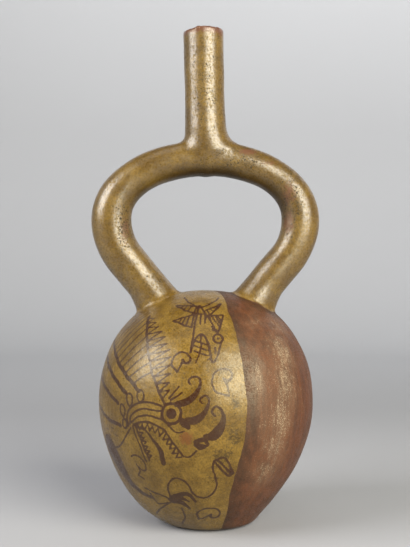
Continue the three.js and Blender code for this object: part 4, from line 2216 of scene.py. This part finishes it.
@dataclass(frozen=True)
class Studio:
    """A pale floor that curves up into a round wall, soft light from both sides, and the camera."""

    floor_radius: float = 1.05
    sweep: float = 0.45
    wall_height: float = 1.9
    floor_steps: int = 96
    camera_distance: float = 0.520
    camera_height: float = 0.1407
    camera_shift: float = -0.0005
    lens: float = 59.8
    sky: Colour = (0.90, 0.95, 1.0)
    sky_strength: float = 0.10
    lights: tuple[SoftLight, ...] = (
        SoftLight("cool window", -65, 27, 1.15, (0.76, 0.66), 15.5, (0.95, 0.93, 0.95)),
        SoftLight("warm lamp", 36, 20, 1.05, (0.84, 0.80), 24.5, (1.0, 0.96, 0.87)),
        SoftLight("top sheet", -20, 78, 1.30, (0.8, 0.8), 2.4, (1.0, 1.0, 1.0)),
    )
    wall_light: tuple[float, float, float] = (0.35, 0.55, 1.25)
    wall_power: float = 21.0
    wall_size: tuple[float, float] = (1.6, 0.4)
    wall_facing: tuple[float, float, float] = (0.0, -1.0, 0.12)

    def backdrop(self) -> bpy.types.Object:
        """Builds the floor and wall by turning their outline.

        Returns:
            The floor.
        """
        outline = [(0.0, 0.0), (self.floor_radius * 0.5, 0.0), (self.floor_radius, 0.0)]
        for step in range(1, 13):
            angle = math.pi / 2 * step / 12
            outline.append(
                (self.floor_radius + self.sweep * math.sin(angle), self.sweep * (1 - math.cos(angle)))
            )
        outline.append((self.floor_radius + self.sweep, self.wall_height))
        mesh = spun(outline, self.floor_steps)
        bmesh.ops.remove_doubles(mesh, verts=mesh.verts, dist=1e-5)
        bmesh.ops.recalc_face_normals(mesh, faces=mesh.faces)
        for face in mesh.faces:
            face.smooth = True
        data = bpy.data.meshes.new("studio_floor")
        mesh.to_mesh(data)
        mesh.free()
        data.materials.append(StudioPaper().build())
        floor = bpy.data.objects.new("studio_floor", data)
        bpy.context.scene.collection.objects.link(floor)
        return floor

    def sky_light(self) -> None:
        """Sets the even light that comes in over the wall."""
        world = bpy.data.worlds.new("studio air")
        world.use_nodes = True
        background = world.node_tree.nodes["Background"]
        background.inputs["Color"].default_value = (*self.sky, 1.0)
        background.inputs["Strength"].default_value = self.sky_strength
        bpy.context.scene.world = world

    def wall_wash(self) -> None:
        """Adds the long lamp above and behind the bottle that lights the wall alone."""
        data = bpy.data.lights.new("wall wash", "AREA")
        data.shape = "RECTANGLE"
        data.size, data.size_y = self.wall_size
        data.energy = self.wall_power
        lamp = bpy.data.objects.new("wall wash", data)
        lamp.location = self.wall_light
        lamp.rotation_euler = Vector(self.wall_facing).to_track_quat("Z", "Y").to_euler()
        lamp.visible_camera = False
        bpy.context.scene.collection.objects.link(lamp)

    def camera(self) -> bpy.types.Object:
        """Adds the camera, level with the shoulder and facing the painted front.

        Returns:
            The camera.
        """
        data = bpy.data.cameras.new("camera")
        data.lens = self.lens
        data.sensor_width = 36.0
        camera = bpy.data.objects.new("camera", data)
        camera.location = (self.camera_shift, -self.camera_distance, self.camera_height)
        camera.rotation_euler = (math.pi / 2, 0, 0)
        bpy.context.scene.collection.objects.link(camera)
        bpy.context.scene.camera = camera
        return camera

    def build(self) -> None:
        """Builds the whole studio."""
        self.backdrop()
        self.sky_light()
        target = Vector((0, 0, self.camera_height))
        for light in self.lights:
            light.place(target)
        self.wall_wash()
        self.camera()
        bpy.context.scene.view_settings.view_transform = "Standard"


def bottle_form() -> BottleForm:
    """The bottle's form, with its driving sizes taken from the solid's box.

    Returns:
        The form.
    """
    low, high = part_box(NODE)
    body = BodyForm(radius=(high[1] - low[1]) / 2 / MM)
    spout = SpoutForm(top=high[2] / MM)
    return BottleForm(body, StirrupForm(), spout)


def main() -> None:
    """Builds the bottle and its studio."""
    logging.basicConfig(level=logging.INFO, format="%(name)s: %(message)s")
    form = bottle_form()
    painting = Painting(Wall(form.body))
    painting.paint()
    LOG.info("painting: %d strokes", len(painting.strokes))
    bottle = BottleSkin(form, painting).make()
    effects = ClayEffects.build()
    bottle.data.materials.append(BurnishedSlip().build(effects))
    bottle.data.materials.append(BareClay().build(effects))
    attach(bottle, "root")
    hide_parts(NODE)
    Studio().build()


if __name__ == "__main__":
    main()
